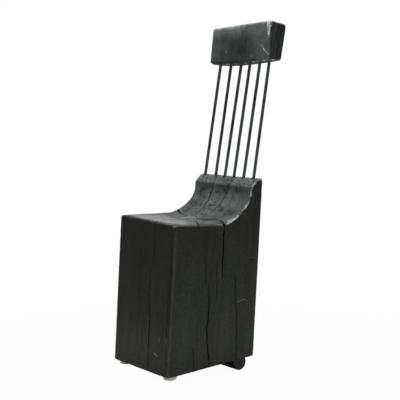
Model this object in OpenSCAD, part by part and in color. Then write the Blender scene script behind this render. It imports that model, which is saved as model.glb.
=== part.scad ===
// Side chair cut from one square beam of blackened oak.
// The beam leans back a little, and a scoop sawn out of its top makes the seat.
// Six round steel rods stand in the shelf behind the scoop and carry a block
// headrest. Two nylon glides stand the front edge on the floor. The rear edge
// stands on a wheelset: two turned oak rollers on one steel axle, which turns
// in flanged bushes in two brackets under the beam, so that the heavy chair
// rolls when its front is lifted.
// Lengths are millimetres and angles degrees. +Z is up and the sitter faces -Y.
// Left and right are as seen from in front of the chair, so left is at -X. The
// origin is on the floor, at the middle of the chair's outline seen from above.

/* [Seat block] */
// Width of the beam at its foot
block_w = 305; // [250:1:380]
// Depth of the beam from its front face to its rear face
block_d = 307; // [280:0.5:360]
// Height of the shelf's rear edge at mid-width, where the beam ends
block_h = 580; // [555:1:620]
// Extra width of the beam at the height of the shelf
block_flare = 10; // [0:1:20]
// Backward lean of the front face
front_lean = 3.6; // [1:0.1:6]
// Backward lean of the rear face
rear_lean = 3.2; // [1:0.1:5]
// Height of the front bottom edge above the floor
front_clear = 9.5; // [8:0.5:18]
// Upward slope of the underside towards the rear
under_slope = 5.5; // [4.5:0.1:6]
// Rounding of the beam's long edges, on both ends of the scoop too
rim_r = 5.5; // [3:0.5:6]

/* [Scoop] */
// Height of the seat's front edge at mid-width
seat_h = 452; // [430:1:468]
// How much higher the hand-cut seat is at -X than at +X
seat_tilt = 10; // [0:1:14]
// Backward fall of the seat surface
seat_fall = 1.15; // [0:0.05:2.5]
// How much steeper that fall is at +X than at -X
seat_wind = 1.8; // [0:0.1:2.4]
// Extra depth of the hollow at mid-width
seat_dish = 4; // [0:0.5:8]
// Rounding of the seat's front edge
seat_nose_r = 7; // [5:1:20]
// Steepness of the scoop's ramp between the seat and the shelf's upright front
ramp_slope = 45.5; // [38:0.5:50]
// Radius of the curve that lifts the seat into the ramp
scoop_r = 130; // [60:1:150]
// Radius of the curve that turns the ramp into the shelf's front
scoop_head_r = 64; // [30:1:66]
// Distance of that turn below the shelf's front edge
scoop_head_drop = 38; // [33:0.5:42]
// Depth of the shelf behind the scoop at mid-width
shelf_d = 40; // [34:1:44]
// How much deeper the shelf is at +X than at -X
shelf_skew = 9; // [0:1:12]
// Height that the shelf gains from its front edge to its rear edge
shelf_rise = 30; // [14:1:32]
// How much higher the shelf is at -X than at +X
shelf_tilt = 4; // [0:0.5:6]

/* [Rods] */
// Diameter of a rod
rod_d = 9.5; // [6:0.5:10]
// Distance of the outer rods' even places from the beam's sides at its foot
rod_margin = 25; // [20:0.5:34]
// Length of a rod from the height of the shelf's rear edge to the headrest
rod_free = 349; // [300:1:420]
// Backward lean of the rods
rod_lean = 9.1; // [6:0.1:11]
// Distance of the row of rods from the rear face, at the shelf's rear edge
rod_inset = 10.5; // [10:0.5:14]
// Depth of a rod below the shelf's rear edge, and in the headrest
rod_grip = 45; // [30:1:60]
// Width of the ring scorched and worn round each rod where it enters the shelf
rod_mouth = 1.6; // [0.5:0.1:2.5]
// Sideways departure of each hand-drilled rod from even spacing, at the shelf
rod_foot_shift = [-4, 3.5, 2, -1, -2, -3]; // [-6:0.5:6]
// The same at the headrest
rod_head_shift = [1.5, 8, 11, 5.5, 4, -1]; // [-6:0.5:12]

/* [Headrest] */
// How far the headrest reaches past the beam's foot on each side
rest_over = 1.5; // [0:0.5:10]
// Height of the headrest at its front face
rest_h = 119; // [95:1:140]
// Thickness of the headrest at its underside
rest_foot_t = 51; // [36:0.5:54]
// How far the underside reaches before the rods' line
rest_foot_front = 25.5; // [18:0.5:28]
// Thickness of the headrest at its top, at mid-width
rest_top_t = 62.5; // [50:0.5:66]
// How far the top's front edge lies behind the bottom's, at mid-width
rest_front_back = 8.5; // [0:0.5:12]
// How much further back that top edge is at -X than at +X
rest_twist = 10; // [0:0.5:12]
// How much higher the top is at +X than at -X
rest_roll = 3; // [0:0.5:6]
// Sag of the rounded underside at its lowest, below its end at -X
rest_sag = 6.5; // [0:0.5:8]
// How much lower the underside is at +X than at -X
rest_drop = 1; // [0:0.5:4]
// Fall of the headrest's top surface to its rear edge
rest_top_fall = 12; // [4:0.5:16]
// Rounding of the headrest's end faces
rest_rim_r = 7; // [4:0.5:7]

/* [Glides] */
// Diameter of a glide
glide_d = 40; // [30:1:46]
// Distance of a glide's centre from the front edge and from the side face
glide_in = 28; // [24:0.5:32]
// Rounding of a glide's lower edge
glide_round = 8; // [3:0.5:9]
// Least depth of the round bed that a glide is let into
glide_bed = 1.5; // [1:0.5:4]
// Diameter of a glide screw's shank
glide_screw_d = 5; // [4:0.5:6]
// Length of a glide screw in the wood
glide_screw_grip = 24; // [16:1:32]

/* [Wheelset] */
// Diameter of a roller
roller_d = 47; // [42:0.5:50]
// Distance of a roller's end from the beam's side face
roller_inset = 9.5; // [8.5:0.5:14]
// Room between the two rollers, where the brackets hang
roller_gap = 91; // [88:1:110]
// Distance of the axle from the front bottom edge
axle_back = 264; // [230:1:268]
// Diameter of the axle
axle_d = 14; // [10:0.5:16]
// Length of the axle inside a roller
axle_grip = 62; // [40:1:66]
// Distance of the recess over the rollers from a roller, all round
recess_clear = 3; // [2:0.5:5]
// Thickness of a bush's wall
bush_wall = 2.5; // [2:0.5:3.5]
// Width of a bush's flange and of the washer that runs on it, outside the axle
flange_rim = 5.5; // [4.5:0.5:6]
// Thickness of a bush's flange
flange_t = 2; // [1.5:0.5:3]
// Thickness of a thrust washer
washer_t = 1.5; // [1:0.5:2.5]

/* [Brackets] */
// Thickness of a bracket's hanging web
web_t = 6; // [4:0.5:8]
// Wall of the bracket round its bush
boss_wall = 4; // [3:0.5:5]
// Thickness of a bracket's foot plate
plate_t = 4; // [3:0.5:5]
// Length of a foot plate along the axle
plate_l = 34; // [30:1:36]
// Width of a foot plate across the axle
plate_w = 46; // [40:1:50]
// Distance of a bracket's screws from one another, along the axle
screw_span_x = 14; // [12:1:15]
// Distance of a bracket's screws from one another, across the axle
screw_span_y = 30; // [26:1:32]
// Diameter of a bracket screw's shank
screw_d = 4; // [3:0.5:5]
// Length of a bracket screw in the wood
screw_grip = 26; // [16:1:34]

/* [Fits] */
// Radial running clearance of the axle in its bushes
run_fit = 0.05; // [0.02:0.01:0.1]
// Radial clearance of a rod in its socket, and of screws in metal and nylon
slip_fit = 0.1; // [0.05:0.05:0.3]
// Clearance between parts that turn past each other
side_gap = 0.4; // [0.3:0.05:0.8]

/* [Hidden] */
$fn = 96;
oak = "#2b2d2b";
steel = "#232323";
zinc = "#8a8d90";
nylon = "#c9c5b0";
bronze = "#8c6f46";

// Roundings of the beam's outline that are no size of their own
corner_r = 6.5;
shelf_break_r = 15;
// Where the shelf's slope eases: share of its depth, and of its rise still to come
break_back = 0.5;
break_left = 0.38;
// Power that moves the lowest point of the headrest's sag towards -X
sag_bias = 0.65;
// Slices across the width, and steps along each rounded corner
MIDDLE_SLICES = 5;
RIM_STEPS = 3;
CORNER_STEPS = 4;
SCOOP_STEPS = 8;
BREAK_STEPS = 3;

// Slice positions across a sawn block, from -X to +X. Each is the sign of its
// side, the angle round the rim and the share of the width where it lies.
function rim_slices(side) = [for (k = [0:RIM_STEPS])
    [side, 90 * (side < 0 ? 1 - k / RIM_STEPS : k / RIM_STEPS), side < 0 ? 0 : 1]];
middle_slices = [for (k = [1:MIDDLE_SLICES]) [0, 0, k / (MIDDLE_SLICES + 1)]];
slices = concat(rim_slices(-1), middle_slices, rim_slices(1));

function mix(a, b, t) = a + (b - a) * t;
function unit(v) = v / norm(v);

// Points of one rounded corner at b, between the neighbours a and c. The corner
// is [y, z, radius, steps], the outline runs anticlockwise, and inset shrinks
// the outline by that much all round.
function corner_points(a, b, c, inset) =
    let (pa = [a[0], a[1]], pb = [b[0], b[1]], pc = [c[0], c[1]],
         u = unit(pa - pb), w = unit(pc - pb), half = acos(u * w) / 2,
         centre = pb + unit(u + w) * b[2] / sin(half),
         from = pb + u * b[2] / tan(half) - centre,
         to = pb + w * b[2] / tan(half) - centre,
         start = atan2(from[1], from[0]),
         sweep = atan2(from[0] * to[1] - from[1] * to[0], from * to),
         radius = b[2] - sign(sweep) * inset)
    [for (k = [0:b[3]]) centre + radius
        * [cos(start + sweep * k / b[3]), sin(start + sweep * k / b[3])]];

function outline(corners, inset) = let (n = len(corners))
    [for (i = [0:n - 1]) each corner_points(corners[(i + n - 1) % n], corners[i],
                                            corners[(i + 1) % n], inset)];

// Corners of the beam's side view at share t of its width, 0 at -X
function front_y(z) = z * tan(front_lean);
function rear_y(z) = block_d + z * tan(rear_lean);
function under_z(y) = front_clear + y * tan(under_slope);
function seat_front_z(t) = seat_h + seat_tilt * (0.5 - t);
function top_z(t) = block_h + shelf_tilt * (0.5 - t);
function shelf_z(t) = top_z(t) - shelf_rise;
function shelf_y(t) = rear_y(block_h) - shelf_d - shelf_skew * (t - 0.5);
function riser_y(z, t) = shelf_y(t) + (z - shelf_z(t)) * tan(rear_lean);
function fall(t) = seat_fall + seat_wind * (t - 0.5);
function hollow_z(t) = seat_front_z(t) - (shelf_y(t) - front_y(seat_h)) * tan(fall(t))
                       - seat_dish * 4 * t * (1 - t);
function ramp_z(t) = shelf_z(t) - scoop_head_drop;
function ramp_foot_y(t) = riser_y(ramp_z(t), t) - (ramp_z(t) - hollow_z(t)) / tan(ramp_slope);
function beam_corners(t) = [
    [front_y(front_clear), under_z(0), corner_r, CORNER_STEPS],
    [rear_y(under_z(block_d)), under_z(block_d), corner_r, CORNER_STEPS],
    [rear_y(top_z(t)), top_z(t), corner_r, CORNER_STEPS],
    [mix(shelf_y(t), rear_y(block_h), break_back), top_z(t) - shelf_rise * break_left,
     shelf_break_r, BREAK_STEPS],
    [shelf_y(t), shelf_z(t), corner_r, CORNER_STEPS],
    [riser_y(ramp_z(t), t), ramp_z(t), scoop_head_r, SCOOP_STEPS],
    [ramp_foot_y(t), hollow_z(t), scoop_r, SCOOP_STEPS],
    [front_y(seat_front_z(t)), seat_front_z(t), seat_nose_r, CORNER_STEPS]];

// Corners of the headrest's side view, from the rods' line at its underside
function sag(s) = rest_sag * 4 * s * (1 - s);
function rest_foot_z(t) = -sag(pow(t, sag_bias)) - rest_drop * t;
function rest_top_z(t) = rest_h + rest_roll * (t - 0.5);
function rest_corners(t) = let (lean = rest_front_back + rest_twist * (0.5 - t))
    [[-rest_foot_front, rest_foot_z(t), rest_rim_r + 1, CORNER_STEPS],
     [rest_foot_t - rest_foot_front, rest_foot_z(t), rest_rim_r + 2, CORNER_STEPS],
     [rest_front_back + rest_top_t - rest_foot_front, rest_top_z(t) - rest_top_fall,
      rest_rim_r + 3, CORNER_STEPS],
     [lean - rest_foot_front, rest_top_z(t), rest_rim_r + 2, CORNER_STEPS]];

// Half the beam's width at height z, and the headrest's whole width
function half_w(z) = block_w / 2 + block_flare / 2 * z / block_h;
rest_w = block_w + 2 * rest_over;

// Points of one slice: its outline, set at its place across the width
function beam_slice(s) = [for (p = outline(beam_corners(s[2]), rim_r * (1 - cos(s[1]))))
    [s[0] == 0 ? mix(-1, 1, s[2]) * (half_w(p[1]) - rim_r)
               : s[0] * (half_w(p[1]) - rim_r * (1 - sin(s[1]))), p[0], p[1]]];
function rest_slice(s) = [for (p = outline(rest_corners(s[2]), rest_rim_r * (1 - cos(s[1]))))
    [s[0] == 0 ? mix(-1, 1, s[2]) * (rest_w / 2 - rest_rim_r)
               : s[0] * (rest_w / 2 - rest_rim_r * (1 - sin(s[1]))), p[0], p[1]]];

// The rods' line, at the height of the shelf's rear edge and at the headrest
rod_foot = [0, rear_y(block_h) - rod_inset, block_h];
rod_head = rod_foot + rod_free * [0, sin(rod_lean), cos(rod_lean)];

beam = [for (s = slices) beam_slice(s)];
rest = [for (s = slices) [for (p = rest_slice(s)) p + rod_head]];

// Seen from above, the chair runs from the beam's foot to the headrest's rear
front_end = min([for (s = beam) each [for (p = s) p[1]]]);
rear_end = max([for (s = rest) each [for (p = s) p[1]]]);
origin_y = (front_end + rear_end) / 2;

RODS = [1:6];
rod_pitch = (block_w - 2 * rod_margin) / 5;
function rod_x(i) = (i - 3.5) * rod_pitch;
function foot_at(i) = rod_foot + [rod_x(i) + rod_foot_shift[i - 1], 0, 0];
function head_at(i) = rod_head + [rod_x(i) + rod_head_shift[i - 1], 0, 0];
// Depth of the shelf's surface at rod i, below the height of the rod's foot
function foot_drop(i) = rod_inset * shelf_rise * break_left / (shelf_d * (1 - break_back))
                        + shelf_tilt * rod_x(i) / block_w;

// Height of a screw's head over its shank's diameter, and the depth at which a
// glide screw's head lies in its glide
HEAD_SHARE = 0.6;
head_depth = 3;

rod_r = rod_d / 2;
mouth_depth = 2 * rod_mouth;
glide_r = glide_d / 2;
glide_h = under_z(glide_in + glide_r) + glide_bed;
glide_screw_r = glide_screw_d / 2;
glide_head_h = glide_screw_d * HEAD_SHARE;
glide_shoulder = glide_head_h + head_depth;
bed_gap = 0.5;
roller_r = roller_d / 2;
roller_chamfer = 1.5;
axle_r = axle_d / 2;
bush_r = axle_r + run_fit + bush_wall;
flange_r = axle_r + flange_rim;
boss_r = bush_r + boss_wall;
web_waist = boss_r - 1;
recess_top = roller_d + recess_clear;
roller_out = block_w / 2 - roller_inset;
roller_in = roller_gap / 2;
roller_l = roller_out - roller_in;
washer_in = roller_in - washer_t;
web_out = washer_in - side_gap - flange_t;
plate_in = web_out - plate_l;
screws_x = (plate_in + web_out - web_t) / 2;
screw_r = screw_d / 2;
screw_head_r = screw_d;
screw_head_h = screw_d * HEAD_SHARE;

// Joins rings of points, one after the other, into one closed solid. Each end is
// a fan from the point that sees the whole outline, in its rear bottom corner.
module loft(rings) {
    n = len(rings[0]);
    last = len(rings) - 1;
    eye = CORNER_STEPS + 1;
    skin = [for (i = [0:last - 1], j = [0:n - 1])
        let (a = i * n + j, b = i * n + (j + 1) % n)
        each [[a, a + n, b + n], [a, b + n, b]]];
    ends = [for (k = [1:n - 2]) let (a = (eye + k) % n, b = (eye + k + 1) % n)
        each [[eye, a, b], last * n * [1, 1, 1] + [eye, b, a]]];
    polyhedron([for (r = rings) each r], concat(skin, ends));
}

// Puts what is drawn from the front bottom edge on the chair's own origin
module placed() translate([0, -origin_y, 0]) children();

// Turns what is drawn at +X into its twin on the given side
module on_side(side) mirror([side < 0 ? 1 : 0, 0, 0]) children();

// Turns what is drawn along +Z from the origin into the direction of v, at p
module along(p, v) translate(p)
    rotate([0, acos(v[2] / norm(v)), atan2(v[1], v[0])]) children();

// Round bar along rod i, from the distance low below the shelf's rear edge to
// the distance high above the headrest's underside
module bar(i, low, high, r) along(foot_at(i), head_at(i) - foot_at(i))
    translate([0, 0, -low]) cylinder(h = low + norm(head_at(i) - foot_at(i)) + high, r = r);

// Worn ring round rod i, cut into the shelf
module mouth(i) along(foot_at(i), head_at(i) - foot_at(i))
    translate([0, 0, -foot_drop(i) - mouth_depth])
        cylinder(h = 2 * mouth_depth, r1 = rod_r, r2 = rod_r + 2 * rod_mouth);

// Centre of a glide and of the axle, on the floor at +X
module at_glide() translate([block_w / 2 - glide_in, glide_in, 0]) children();
module at_axle(x) translate([x, axle_back, roller_r]) rotate([0, 90, 0]) children();

// Places of one bracket's four screws, at the recess's roof
module at_screws() for (x = [-1, 1], y = [-1, 1])
    translate([screws_x + x * screw_span_x / 2, axle_back + y * screw_span_y / 2, recess_top])
        children();

// Room for both rollers, routed into the underside short of the side faces
module recess() {
    reach = roller_r + recess_clear;
    half = roller_out + recess_clear;
    translate([-half, axle_back - reach, 0]) cube([2 * half, 2 * reach, recess_top]);
}

module seat_block() color(oak) placed() difference() {
    loft(beam);
    for (i = RODS) {
        bar(i, rod_grip, 0, rod_r + slip_fit);
        mouth(i);
    }
    recess();
    for (side = [-1, 1]) on_side(side) {
        at_glide() {
            cylinder(h = glide_h, r = glide_r + bed_gap);
            cylinder(h = glide_h + glide_screw_grip, r = glide_screw_r);
        }
        at_screws() cylinder(h = screw_grip, r = screw_r);
    }
}

module headrest() color(oak) placed() difference() {
    loft(rest);
    for (i = RODS) bar(i, 0, rod_grip, rod_r + slip_fit);
}

module rod(i) color(steel) placed() bar(i, rod_grip, rod_grip, rod_r);

module glide(side) color(nylon) placed() on_side(side) at_glide() difference() {
    rotate_extrude() {
        square([glide_r - glide_round, glide_h]);
        translate([0, glide_round]) square([glide_r, glide_h - glide_round]);
        intersection() {
            translate([glide_r - glide_round, glide_round]) circle(r = glide_round);
            square([glide_r, glide_round]);
        }
    }
    cylinder(h = glide_h, r = glide_screw_r + slip_fit);
    cylinder(h = glide_shoulder, r = 2 * glide_screw_r + bed_gap);
}

module glide_screw(side) color(zinc) placed() on_side(side) at_glide() {
    translate([0, 0, glide_shoulder - glide_head_h])
        cylinder(h = glide_head_h, r = 2 * glide_screw_r);
    translate([0, 0, glide_shoulder])
        cylinder(h = glide_h + glide_screw_grip - glide_shoulder, r = glide_screw_r);
}

module roller(side) color(oak) placed() on_side(side) difference() {
    at_axle(roller_in) rotate_extrude() polygon([
        [0, 0], [roller_r - roller_chamfer, 0], [roller_r, roller_chamfer],
        [roller_r, roller_l - roller_chamfer], [roller_r - roller_chamfer, roller_l],
        [0, roller_l]]);
    at_axle(roller_in) cylinder(h = axle_grip, r = axle_r);
}

module axle() color(zinc) placed()
    at_axle(-roller_in - axle_grip) cylinder(h = 2 * (roller_in + axle_grip), r = axle_r);

module washer(side) color(zinc) placed() on_side(side) at_axle(washer_in) difference() {
    cylinder(h = washer_t, r = flange_r);
    cylinder(h = washer_t, r = axle_r + slip_fit);
}

module bush(side) color(bronze) placed() on_side(side) at_axle(web_out) difference() {
    union() {
        cylinder(h = flange_t, r = flange_r);
        translate([0, 0, -web_t]) cylinder(h = web_t, r = bush_r);
    }
    translate([0, 0, -web_t]) cylinder(h = web_t + flange_t, r = axle_r + run_fit);
}

module bracket(side) color(steel) placed() on_side(side) difference() {
    union() {
        translate([plate_in, axle_back - plate_w / 2, recess_top - plate_t])
            cube([plate_l, plate_w, plate_t]);
        translate([web_out - web_t, axle_back, 0]) rotate([90, 0, 90])
            linear_extrude(web_t) {
                polygon([[-web_waist, roller_r], [web_waist, roller_r],
                         [plate_w / 2, recess_top - plate_t / 2],
                         [-plate_w / 2, recess_top - plate_t / 2]]);
                translate([0, roller_r]) circle(r = boss_r);
            }
    }
    at_axle(web_out - web_t) cylinder(h = web_t, r = bush_r);
    at_screws() translate([0, 0, -plate_t]) cylinder(h = plate_t, r = screw_r + slip_fit);
}

module bracket_screws(side) color(zinc) placed() on_side(side) at_screws() {
    translate([0, 0, -plate_t]) cylinder(h = plate_t + screw_grip, r = screw_r);
    translate([0, 0, -plate_t - screw_head_h]) cylinder(h = screw_head_h, r = screw_head_r);
}

seat_block();
headrest();
rod(1);  // rod_1
rod(2);  // rod_2
rod(3);  // rod_3
rod(4);  // rod_4
rod(5);  // rod_5
rod(6);  // rod_6
glide(-1);  // glide_left
glide(1);  // glide_right
glide_screw(-1);  // glide_screw_left
glide_screw(1);  // glide_screw_right
roller(-1);  // roller_left
roller(1);  // roller_right
axle();
washer(-1);  // washer_left
washer(1);  // washer_right
bush(-1);  // bush_left
bush(1);  // bush_right
bracket(-1);  // bracket_left
bracket(1);  // bracket_right
bracket_screws(-1);  // bracket_screws_left
bracket_screws(1);  // bracket_screws_right
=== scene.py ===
"""Looks of a side chair that is cut from one square beam of blackened oak.

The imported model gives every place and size. The beam and the headrest are cut
again from their solids with the marks that hand work, drying and use leave on
such wood. The metal and nylon parts keep their solids and get their finishes.
Lengths in names that end in _mm are millimetres, all others are metres.
"""
import logging
import math
from collections.abc import Callable, Iterator
from contextlib import contextmanager
from dataclasses import dataclass
from enum import Enum
from functools import partial

import bmesh
import bpy
import numpy as np
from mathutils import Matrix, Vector
from mathutils.bvhtree import BVHTree


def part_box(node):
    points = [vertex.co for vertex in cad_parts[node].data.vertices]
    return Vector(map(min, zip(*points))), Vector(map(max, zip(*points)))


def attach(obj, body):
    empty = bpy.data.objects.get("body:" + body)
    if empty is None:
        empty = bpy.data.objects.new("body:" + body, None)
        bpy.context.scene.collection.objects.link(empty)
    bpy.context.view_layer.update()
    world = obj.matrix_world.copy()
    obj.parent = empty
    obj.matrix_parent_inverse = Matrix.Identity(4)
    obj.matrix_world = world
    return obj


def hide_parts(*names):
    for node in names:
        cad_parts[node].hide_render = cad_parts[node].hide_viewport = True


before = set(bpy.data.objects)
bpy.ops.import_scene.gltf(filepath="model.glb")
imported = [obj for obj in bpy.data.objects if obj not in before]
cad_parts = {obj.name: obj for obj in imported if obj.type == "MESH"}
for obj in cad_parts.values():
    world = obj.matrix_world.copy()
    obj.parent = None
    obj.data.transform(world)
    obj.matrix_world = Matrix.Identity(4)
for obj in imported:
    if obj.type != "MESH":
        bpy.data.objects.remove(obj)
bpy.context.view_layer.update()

log = logging.getLogger("side_chair")

MM = 0.001
CHAIR = "chair"
SIDES = ("left", "right")
# Node settings that come again and again
EASED = {"interpolation_type": "SMOOTHSTEP"}
COLOURS = {"data_type": "RGBA"}

Array = np.ndarray
Point = tuple[float, float, float]
Shell = tuple[list[Point], list[tuple[int, ...]]]
Socket = bpy.types.NodeSocket
Adder = Callable[..., Socket]

# Marks are measured from where the beam's front face would meet the floor, at
# mid-width, which its lean puts this far ahead of the solid
LEAN_MM = 1.1
DATUM_MM = np.array((0.0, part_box("seat_block")[0].y / MM - LEAN_MM, 0.0))


class Grain(Enum):
    """Which way the fibres run, as the turn that stands them on end."""

    UPRIGHT = (math.radians(3.4), 0.0, 0.0)
    CROSSWAYS = (0.0, math.radians(90), 0.0)


# Colour, node and object helpers

def linear(code: str) -> tuple[float, float, float, float]:
    """Turns an sRGB hex colour into the linear colour that a shader takes.

    Args:
        code: The colour as "#rrggbb".

    Returns:
        Red, green, blue and an alpha of 1.
    """
    parts = [int(code[i:i + 2], 16) / 255 for i in (1, 3, 5)]
    red, green, blue = [c / 12.92 if c <= 0.04045 else ((c + 0.055) / 1.055) ** 2.4
                        for c in parts]
    return red, green, blue, 1.0


def per_metre(*sizes_mm: float) -> tuple[float, ...]:
    """Cells in a metre along each axis, from the real size of one in millimetres."""
    return tuple(1000 / size for size in sizes_mm)


def add_node(tree: bpy.types.NodeTree, kind: str, inputs: dict | tuple = (),
             out: int | str = 0, **settings: object) -> Socket | None:
    """Adds one node with its settings and links.

    Args:
        tree: The node tree that gets the node.
        kind: The node's type name, after the "ShaderNode" that they all share.
        inputs: Inputs by name or number, or a tuple of them in the node's own
            order. A socket is linked, a value is set.
        out: The output that is wanted.
        settings: Properties of the node itself.

    Returns:
        That output, or None if the node has none.
    """
    made = tree.nodes.new(f"ShaderNode{kind}")
    for name, value in settings.items():
        setattr(made, name, value)
    rows = inputs if isinstance(inputs, dict) else dict(enumerate(inputs))
    for key, value in rows.items():
        if isinstance(value, Socket):
            tree.links.new(value, made.inputs[key])
        else:
            made.inputs[key].default_value = value
    return made.outputs[out] if len(made.outputs) else None


def fresh_tree(owner: bpy.types.Material | bpy.types.World) -> Adder:
    """Empties the owner's node tree and gives what adds a node to it.

    Args:
        owner: What the tree belongs to.

    Returns:
        The function that adds one node to the tree.
    """
    owner.use_nodes = True
    owner.node_tree.nodes.clear()
    return partial(add_node, owner.node_tree)


def wear_material(piece: bpy.types.Object, material: bpy.types.Material) -> None:
    """Gives the whole piece one material in place of those that it has."""
    piece.data.materials.clear()
    piece.data.materials.append(material)


def wear_nodes(material: bpy.types.Material, *names: str) -> None:
    """Gives the CAD nodes of these names one material."""
    for name in names:
        wear_material(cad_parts[name], material)


def put(name: str, data: bpy.types.ID) -> bpy.types.Object:
    """Makes an object of the data and links it to the scene.

    Args:
        name: The object's name.
        data: Its mesh, lamp or camera.

    Returns:
        The object.
    """
    made = bpy.data.objects.new(name, data)
    bpy.context.scene.collection.objects.link(made)
    return made


@contextmanager
def opened(mesh: bpy.types.Mesh) -> Iterator[bmesh.types.BMesh]:
    """Lends a mesh for editing and writes it back.

    Args:
        mesh: The mesh.

    Yields:
        The mesh, open for editing.
    """
    work = bmesh.new()
    work.from_mesh(mesh)
    yield work
    work.to_mesh(mesh)
    work.free()


# Finishes

@dataclass(frozen=True)
class Finish:
    """A material that one surface process leaves, named for what it is."""

    name: str

    def make(self) -> bpy.types.Material:
        """Builds the material in the chair's own coordinates.

        Returns:
            The material.
        """
        material = bpy.data.materials.new(self.name)
        add = fresh_tree(material)
        shader = add("BsdfPrincipled", self.surface(add, add("TexCoord", out="Object")))
        add("OutputMaterial", {"Surface": shader})
        return material

    def surface(self, add: Adder, place: Socket) -> dict[str, Socket | float]:
        """Adds the nodes of this finish.

        Args:
            add: Adds one node to the material.
            place: The point that is shaded.

        Returns:
            The shader's inputs by name.
        """
        raise NotImplementedError


@dataclass(frozen=True)
class EbonisedOak(Finish):
    """Oak stained black through its tannin, then scraped and waxed by hand.

    The iron stain leaves the fibres a greenish black and the open pores darker
    still. Wax over scraped wood gives a broad dull sheen, which shows on what
    lies flat, and rubbed edges show the paler grey wood under the stain. The
    colours also paint light and shade: the polish colour paints sheen and light
    on the seat and the headrest, the pore colour paints shade round the rods, in
    hollows and cracks and under edges, and the rubbed colour paints light on the
    headrest's upper front and lower arris.
    """

    pith: Point = (0.03, -0.04, 0.0)
    grain: Grain = Grain.UPRIGHT
    # How plainly the streaks of the grain show under the stain
    drawn: float = 1.0
    stain: str = "#222522"
    streak: str = "#2d302c"
    # Tannin comes through unevenly, so wide patches turn towards brown
    tannin: str = "#2f3128"
    patch_mm: Point = (55.0, 55.0, 160.0)
    # Wax and hands polish the stain to a greyer, smoother skin, and this colour also paints sheen
    # and light
    polish_and_light: str = "#6b706e"
    # Open pores, and also painted shade round the rods, in hollows and cracks and under edges
    pore: str = "#111211"
    # Paler wood under rubbed stain, and also painted light on the headrest
    rubbed: str = "#b4bcbe"
    rubbed_strength: float = 0.95
    mottle_mm: Point = (26.0, 26.0, 26.0)
    mottled: float = 0.35
    # The stain took unevenly, which leaves small clouds in it
    cloud_mm: Point = (9.0, 9.0, 9.0)
    cloudy: float = 0.3
    # Fibres are finer than a pixel, so they are drawn about five times as coarse
    fibre_mm: Point = (4.0, 4.0, 170.0)
    board_mm: Point = (34.0, 34.0, 620.0)
    # A slow oak's growth rings, drawn two or three times as coarse
    ring_mm: float = 9.0
    # Scraper marks left down the slope of the scoop
    scrape_mm: Point = (3.2, 90.0, 90.0)
    roughness: float = 0.5
    ior: float = 1.46
    # A dry stained surface mirrors less than a varnished one
    specular: float = 0.3
    scratches: tuple[tuple[Point, Point, float, float], ...] = ()

    def surface(self, add: Adder, place: Socket) -> dict[str, Socket | float]:
        """Lays grain, stain, wear, wax, relief and painted light and shade as the mesh's masks
        say.

        Args:
            add: Adds one node to the material.
            place: The point that is shaded.

        Returns:
            The shader's inputs by name.
        """
        grain = add("Mapping", {"Vector": place, "Location": tuple(-c for c in self.pith),
                                "Rotation": self.grain.value})
        sawn, worn, rod_shade, hollow, handled_and_lit = (
            add("Attribute", out="Fac", attribute_name=name)
            for name in ("sawn", "worn", "rod_shade", "hollow", "handled_and_lit"))
        # Fibres and boards run with the grain
        fibre, board, patch, scrape, mottle, cloud = (
            add("TexNoise", {"Vector": add("Mapping", {"Vector": at, "Scale": per_metre(*cell)}),
                             "Scale": 1.0, "Detail": detail, "Roughness": rough})
            for at, cell, detail, rough in (
                (grain, self.fibre_mm, 4.0, 0.62), (grain, self.board_mm, 3.0, 0.55),
                (grain, self.patch_mm, 3.0, 0.5), (place, self.scrape_mm, 3.0, 0.7),
                (place, self.mottle_mm, 5.0, 0.6), (place, self.cloud_mm, 2.0, 0.7)))
        # Rings round the pith show as arcs on the sawn top and as lines elsewhere
        rings = add("TexWave", {
            "Vector": grain, "Scale": math.tau / 20 / (self.ring_mm * MM), "Distortion": 7.0,
            "Detail": 3.0, "Detail Scale": 0.35, "Detail Roughness": 0.6}, "Fac",
            wave_type="RINGS", rings_direction="Z")

        # Colour: stain, paler streaks, tannin and clouds
        streaky = add("MapRange", (add("Math", (fibre, board), operation="MULTIPLY"),
                                   0.16, 0.38, 0.0, self.drawn), **EASED)
        brown = add("MapRange", (patch, 0.44, 0.66, 0.0, 0.7), **EASED)
        colour = linear(self.stain)
        for share, tint in ((streaky, self.streak), (brown, self.tannin)):
            colour = add("Mix", {0: share, 6: colour, 7: linear(tint)}, 2, **COLOURS)
        clouds = add("MapRange", (cloud, 0.3, 0.7, 1 - self.cloudy, 1 + self.cloudy))
        colour = add("VectorMath", {0: colour, "Scale": clouds}, operation="SCALE")
        # Then the polish with its painted sheen and light, open rings, wear with painted light,
        # and the dark marks with painted shade
        uneven = add("MapRange", (mottle, 0.3, 0.7, 1 - self.mottled, 1 + self.mottled))
        polished_and_lit = add("Math", (handled_and_lit, uneven), operation="MULTIPLY", use_clamp=True)
        ringed = add("Math", (add("MapRange", (rings, 0.7, 0.98, 0.0, 0.3), **EASED), sawn),
                     operation="MULTIPLY")
        # Wear breaks up along the fibres, as the raised ones are rubbed first, and the painted
        # light in the same mask breaks up with it
        broken = add("Math", (worn, add("MapRange", (mottle, 0.3, 0.7, 0.35, 1.25))),
                     operation="MULTIPLY")
        broken = add("MapRange", (broken, 0.18, 0.85, 0.0, self.rubbed_strength), **EASED)
        for start, end, half_mm, pale in self.scratches:
            mark = self.scratch(add, place, start, end, half_mm * MM, pale)
            broken = add("Math", (broken, mark), operation="MAXIMUM")
        # Painted shade round the rods, in hollows and cracks and under edges, with the real dark
        # knots and streaks, takes the pore colour
        dark = add("Math", (rod_shade, hollow), operation="MAXIMUM")
        for share, tint in ((polished_and_lit, self.polish_and_light), (ringed, self.pore),
                            (broken, self.rubbed), (dark, self.pore)):
            colour = add("Mix", {0: share, 6: colour, 7: linear(tint)}, 2, **COLOURS)

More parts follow.
